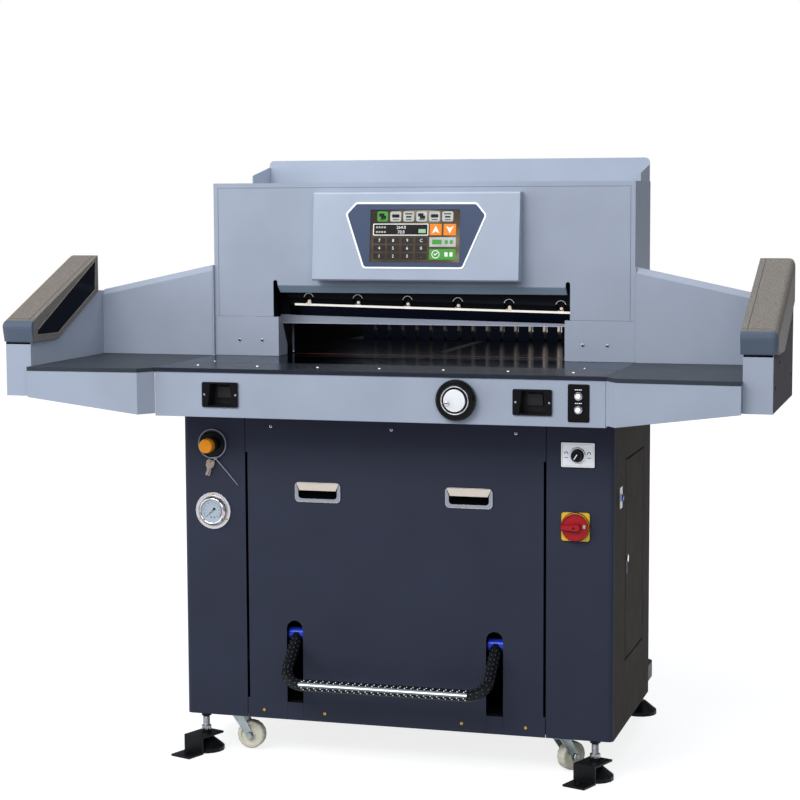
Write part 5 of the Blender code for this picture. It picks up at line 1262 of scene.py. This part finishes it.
def head_lip():
    """Painted light from below: a paler copy of the cover's paint on the head cover's folded lip over the
    knife window.
    """
    fold = Plane(at(0, 0.254, 1.118), (1, 0, 0), (0, -0.021, 0.019))
    plates("head_lip", "lip_painted_light", [(fold, rectangle(-0.3664, 0.3664, 0.0006, 0.0276),
        hair / 2, 0.0004)])


def head_rim():
    """The shallow fold line that follows the head cover's sides and top."""
    low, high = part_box("head_cover")
    margin, width, foot = 0.011, 0.0012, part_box("cheek_cover_right")[1].z + 0.001
    left, right, top = low.x + margin, high.x - margin, high.z - margin
    outline = [(left, foot), (left + width, foot), (left + width, top - width),
        (right - width, top - width), (right - width, foot), (right, foot), (right, top), (left, top)]
    plates("head_rim", "rim_line", [(facing_front(low.y - cabinet_face), outline, hair / 2,
        0.0004)])


for side, name in ((-1, "left"), (1, "right")):
    housing_look(side, name)
    arm_trim(side, name)
head_flanges()
apron_ends()
head_lip()
head_rim()


# Cabinet sides: painted shade and warm painted reflection over them, the side door's joint and skin, and
# the socket with its blue cap
flank_face, flank_foot, flank_top, flank_front, flank_rear = 0.53, 0.0935, 0.949, 0.0132, 0.5048
door_front, door_rear, door_foot, door_top, lock_hole = 0.1505, 0.4063, 0.252, 0.7385, (0.164, 0.188)
socket_spot = (0.085, 0.655)


def flank_trim():
    side, skin = facing_side(1, flank_face), (hair / 2, 0.0003)
    whole = rectangle(flank_front, flank_rear, flank_foot, flank_top)
    opening = rectangle(door_front, door_rear, door_foot, door_top)
    edge = rectangle(door_front + 0.003, door_rear - 0.003, door_foot + 0.003, door_top - 0.003)
    door = rectangle(door_front + 0.005, door_rear - 0.0038, door_foot + 0.005, door_top - 0.005)
    # Painted shade and warm painted reflection over the cabinet's sides and the door.
    plates("flank_skins", "flank_painted_shade", [(side, whole, *skin, [opening]),
        (facing_side(-1, -flank_face), to_side(-1, whole), *skin)])
    plates("door_joint", "dark_joint_and_painted_shade", [(side, opening, *skin, [edge])])
    plates("door_skin", "flank_painted_shade", [(side, door, *skin,
        [rectangle(*lock_hole, 0.459, 0.508)])], "side_door")
    form = bmesh.new()
    slab(form, side, rounded((0.07, 0.63), (0.1, 0.68), 0.002), hair / 2, 0.0014)
    turned(form, side, socket_spot, mm(10.5, 1.4, 10, 3.2, 0, 3.2), 28)
    piece("socket_plate", "key_grey", form)
    lathe("socket_cap", "blue_rod", [(side, socket_spot,
        mm(7.8, 3.2, 7.4, 6, 6, 6.8, 0, 6.8), 24)])


# Front panel: pull handles with painted shade in their recesses, rims and lips, brass screws and the joints
# under the slots
handle_start, handle_end, handle_foot, handle_top, handle_round = 0.137, 0.236, 0.6367, 0.6693, 0.0082
handle_middle, rim_low, rim_high = 0.1865, (0.1297, 0.6292), (0.2433, 0.6768)
slot_places, slot_half = (-0.248, 0.248), 0.0205
low_screws = mm(-328.2, 113.5, -172.9, 113.8, 167.9, 113.9, 323.3, 114)


def pull_handle_look():
    recess_shade_rows, rims, lips, corners = [], [], [], []
    for side in (-1, 1):
        x0, x1 = sorted((side * handle_start, side * handle_end))
        low, high = (x0, handle_foot), (x1, handle_top)
        inner = grown(low, high, -0.0005, handle_round - 0.0005, 4)
        # The recess walls and floor in near-black: painted shade.
        recess_shade_rows += [(front_plane, rounded(low, high, handle_round, 4), -0.0163, 0.0018, [inner]),
            (front_plane, inner, -0.0164, -0.0158)]
        x0, x1 = sorted((side * rim_low[0], side * rim_high[0]))
        low, high = (x0, rim_low[1]), (x1, rim_high[1])
        rims.append((front_plane, rounded(low, high, 0.0098), 0.0022, 0.0029,
            [grown(low, high, -0.0009, 0.009)]))
        x = side * handle_middle
        lips.append((front_plane, [(x - 0.0535, 0.6752), (x - 0.0455, 0.6575), (x + 0.0455, 0.6575),
            (x + 0.0535, 0.6752)], 0.0026, 0.0036))
        corners += [(front_plane, [(x + way * 0.0546, 0.6755), (x + way * 0.0458, 0.6565),
            (x + way * 0.048, 0.6565)], 0.0026, 0.0033) for way in (-1, 1)]
    plates("handle_lips", "pull_lip", lips)
    plates("handle_corners", "key_dark", corners)
    plates("handle_recess_shade", "dark_joint_and_painted_shade", recess_shade_rows)
    plates("handle_rims", "pull_lip", rims)


def panel_trim():
    screws("panel_screws_low", "brass", front_plane, low_screws)
    edges = [middle + way * slot_half for middle in slot_places for way in (-1, 1)]
    plates("panel_joints", "seam_shadow", [(front_plane,
        rectangle(x - 0.0004, x + 0.0004, 0.0935, 0.1355), hair / 2, 0.0002) for x in edges])


# Pedal: painted highlights along the foot bar's top, rows of dots, and the blue rod seen in the slots
pedal_axis, pedal_bar, pedal_tube, pedal_half = (0.026, 0.302), (-0.088, 0.203), 0.014, 0.206
pedal_arm, pedal_bend = 0.248, 0.045
dot_profile = [(0.0015, pedal_tube - 0.0004), (0.0014, pedal_tube + 0.0003), (0, pedal_tube + 0.0006)]
dots_per_row, dot_shift, row_degrees = 26, 0.004, (130, 194, 112, 212)


def pedal_look():
    rods = bmesh.new()
    for middle in slot_places:
        bar(rods, at(middle - 0.0196, *pedal_axis), at(middle + 0.0196, *pedal_axis), 0.015, 28)
    piece("pedal_rod", "blue_rod", rods, "pedal")
    end = Plane(at(-pedal_half, *pedal_bar), (0, 1, 0), (0, 0, 1))
    # Painted highlights: a soft band and a bright strip along the bar's top.
    for name, finish, low, high, lift in (("soft_glint", "glint_soft", 140, 186, 0.00015),
            ("glint", "painted_highlight_white", 157, 170, 0.0003)):
        band = arc_band((0, 0), pedal_tube + lift, pedal_tube - 0.0004, low, high, 8)
        plates("pedal_" + name, finish, [(end, band, 0.0, 2 * pedal_half)], "pedal")
    rows = []
    for degrees in row_degrees:
        out = Vector((0, *polar((0, 0), 1, degrees)))
        face = Plane(at(0, *pedal_bar), (1, 0, 0), out.cross(Vector((1, 0, 0))))
        shift = dot_shift if degrees in row_degrees[2:] else 0.0
        rows += [(face, (pedal_half * (2 * i + 1 - dots_per_row) / dots_per_row + shift, 0), dot_profile, 8)
            for i in range(dots_per_row)]
    lathe("pedal_dots", "white_dot_and_painted_highlight", rows, "pedal")
    # The arms' dots are a darker copy of the bar's: painted shade.
    lathe("pedal_arm_dots", "dot_painted_shade", arm_dots(-1) + arm_dots(1), "pedal")


def arm_dots(side):
    """Dots round the bend at the bar's end and up the arm."""
    across = Vector((side, 0, 0))
    slope = Vector((0, pedal_bar[0] - pedal_axis[0], pedal_bar[1] - pedal_axis[1])).normalized()
    middle = at(0, *pedal_bar) + across * (pedal_arm - pedal_bend) - slope * pedal_bend
    path = []
    for degrees in range(8, 77, 17):
        c, s = polar((0, 0), 1, degrees)
        path.append((middle + pedal_bend * (across * c + slope * s), slope * c - across * s))
    path += [(middle + across * pedal_bend - slope * 0.0133 * i, slope) for i in range(7)]
    above, rows = Vector((0, slope.z, -slope.y)), []
    for spot, along in path:
        for degrees, shift in ((-58, dot_shift), (-20, 0), (20, 0), (58, dot_shift)):
            c, s = polar((0, 0), 1, degrees)
            out = above * c + along.cross(above) * s
            rows.append((Plane(spot + along * shift, along, out.cross(along)), (0, 0), dot_profile, 8))
    return rows


# Levelling feet's threads with the front nuts, and the casters' axle heads
foot_spots = [(-0.486, 0.015, 0.0512, True), (0.486, 0.015, 0.0512, True), (-0.486, 0.645, 0.0344, False),
    (0.486, 0.645, 0.0344, False)]
foot_bolt, thread_top, thread_pitch, nut_width, nut_height = 0.008, 0.084, 0.0016, 0.0128, 0.0096
caster_spots = {"left": ((-0.378, 0.046), 0), "right": ((0.418, 0.0643), 50)}
caster_axle, caster_half = 0.0385, 0.0205


def feet_look():
    bolts = []
    for x, y, low, nut in foot_spots:
        plane, height = Plane(at(x, y, 0), (1, 0, 0), (0, 1, 0)), low
        profile = [(foot_bolt - 0.0003, low)]
        while height < thread_top - thread_pitch:
            profile += [(foot_bolt + 0.0001, height + 0.0002), (foot_bolt + 0.0006, height + 0.0008),
                (foot_bolt + 0.0001, height + 0.0014)]
            height += thread_pitch
        bolts.append((plane, (0, 0), [*profile, (foot_bolt - 0.0003, thread_top)], 20))
        if nut:
            bolts.append((plane, (0, 0), [(foot_bolt, low), (nut_width, low + 0.0004),
                (nut_width, low + nut_height - 0.0004), (foot_bolt, low + nut_height)], 6))
    lathe("foot_bolts", "turned_steel", bolts)


def caster_trim():
    head = mm(8.2, 0, 8.2, 2.6, 7, 4, 0, 4)
    for name, (place, turn) in caster_spots.items():
        heads = []
        for way in (-1, 1):
            out = Matrix.Rotation(math.radians(turn), 3, "Z") @ Vector((0, way, 0))
            face = Plane(at(*place, caster_axle) + out * caster_half, -out.cross(Vector((0, 0, 1))),
                (0, 0, 1))
            heads.append((face, (0, 0), head, 6))
        lathe("caster_bolts_" + name, "zinc_plate", heads, "caster_" + name)


flank_trim()
pull_handle_look()
panel_trim()
pedal_look()
feet_look()
caster_trim()


# Floor, light and camera
def either(tree, first, second):
    """One where either of two yes or no values is one."""
    return add_node(tree, "Math", {0: first, 1: second}, operation="MAXIMUM").outputs[0]


def floor_material():
    """A pale floor: seen directly it is lifted to white outside the object's shadow."""
    graph = Graph("floor")
    far = graph.node("VectorMath", {0: graph.point()}, operation="LENGTH").outputs["Value"]
    lift = graph.node("MapRange", {"From Min": lift_start, "From Max": lift_end, "To Min": floor_lift,
        "To Max": 1.0, "Value": far}).outputs["Result"]
    rays = graph.node("LightPath", {}).outputs
    seen = either(graph.tree, rays["Is Camera Ray"], rays["Is Glossy Ray"])
    seen = either(graph.tree, seen, rays["Is Transmission Ray"])
    shown = graph.node("Math", {0: lift, 1: seen}, operation="MULTIPLY").outputs[0]
    graph.shade({
        "Base Color": floor_shade,
        "Roughness": floor_rough,
        "Emission Color": white,
        "Emission Strength": shown,
    })


def studio():
    """The floor, and a world that lights with a soft grey and is seen as white."""
    bpy.ops.mesh.primitive_plane_add(size=floor_size, location=(0, 0, 0))
    ground = bpy.context.object
    ground.name = "floor"
    floor_material()
    ground.data.materials.append(finishes["floor"])
    world = bpy.data.worlds.new("studio")
    world.use_nodes = True
    bpy.context.scene.world = world
    tree = world.node_tree
    plain = tree.nodes["Background"]
    feed(tree, plain, {"Color": world_shade, "Strength": 1.0})
    seen = add_node(tree, "Background", {"Color": white, "Strength": 1.0})
    rays = add_node(tree, "LightPath", {}).outputs
    direct = either(tree, rays["Is Camera Ray"], rays["Is Transmission Ray"])
    mix = add_node(tree, "MixShader", {"Fac": direct, 1: plain.outputs[0], 2: seen.outputs[0]})
    feed(tree, tree.nodes["World Output"], {"Surface": mix.outputs[0]})


def lamp(name, place, height, size, power, tint=(1, 1, 1)):
    """A soft box that looks at the machine's middle at a height."""
    light = bpy.data.lights.new(name, "AREA")
    light.shape = "RECTANGLE"
    light.size, light.size_y = size
    light.energy = power
    light.color = tint
    made = bpy.data.objects.new(name, light)
    bpy.context.scene.collection.objects.link(made)
    made.location = place
    made.rotation_euler = (Vector((0, 0, height)) - Vector(place)).to_track_quat("-Z", "Y").to_euler()


def camera():
    """The photograph's camera, from its solved place and angles."""
    yaw, pitch, roll = camera_yaw, camera_pitch, camera_roll
    forward = Vector((-math.sin(yaw) * math.cos(pitch), math.cos(yaw) * math.cos(pitch), math.sin(pitch)))
    side = Vector((math.cos(yaw), math.sin(yaw), 0))
    up = side.cross(forward)
    right = side * math.cos(roll) + up * math.sin(roll)
    above = up * math.cos(roll) - side * math.sin(roll)
    data = bpy.data.cameras.new("camera")
    data.lens, data.sensor_width, data.clip_end = camera_lens, camera_sensor, camera_reach
    made = bpy.data.objects.new("camera", data)
    bpy.context.scene.collection.objects.link(made)
    turn = Matrix((right, above, -forward)).transposed().to_4x4()
    made.matrix_world = Matrix.Translation(camera_place) @ turn
    bpy.context.scene.camera = made


studio()
lamp("key", (-1.0, -3.6, 3.2), 0.8, (2.6, 1.8), 100, (1.0, 0.99, 0.97))
lamp("front", (1.9, -4.2, 2.4), 0.8, (2.0, 1.6), 36)
lamp("fill", (-3.0, -2.0, 1.8), 0.8, (2.2, 2.2), 42, (0.96, 0.98, 1.0))
lamp("side", (3.2, -1.6, 2.4), 0.9, (1.8, 1.8), 3, (0.97, 0.98, 1.0))
lamp("top", (0.0, 0.4, 3.6), 0.9, (3.2, 2.4), 54)
camera()
bpy.context.scene.view_settings.view_transform = "Standard"
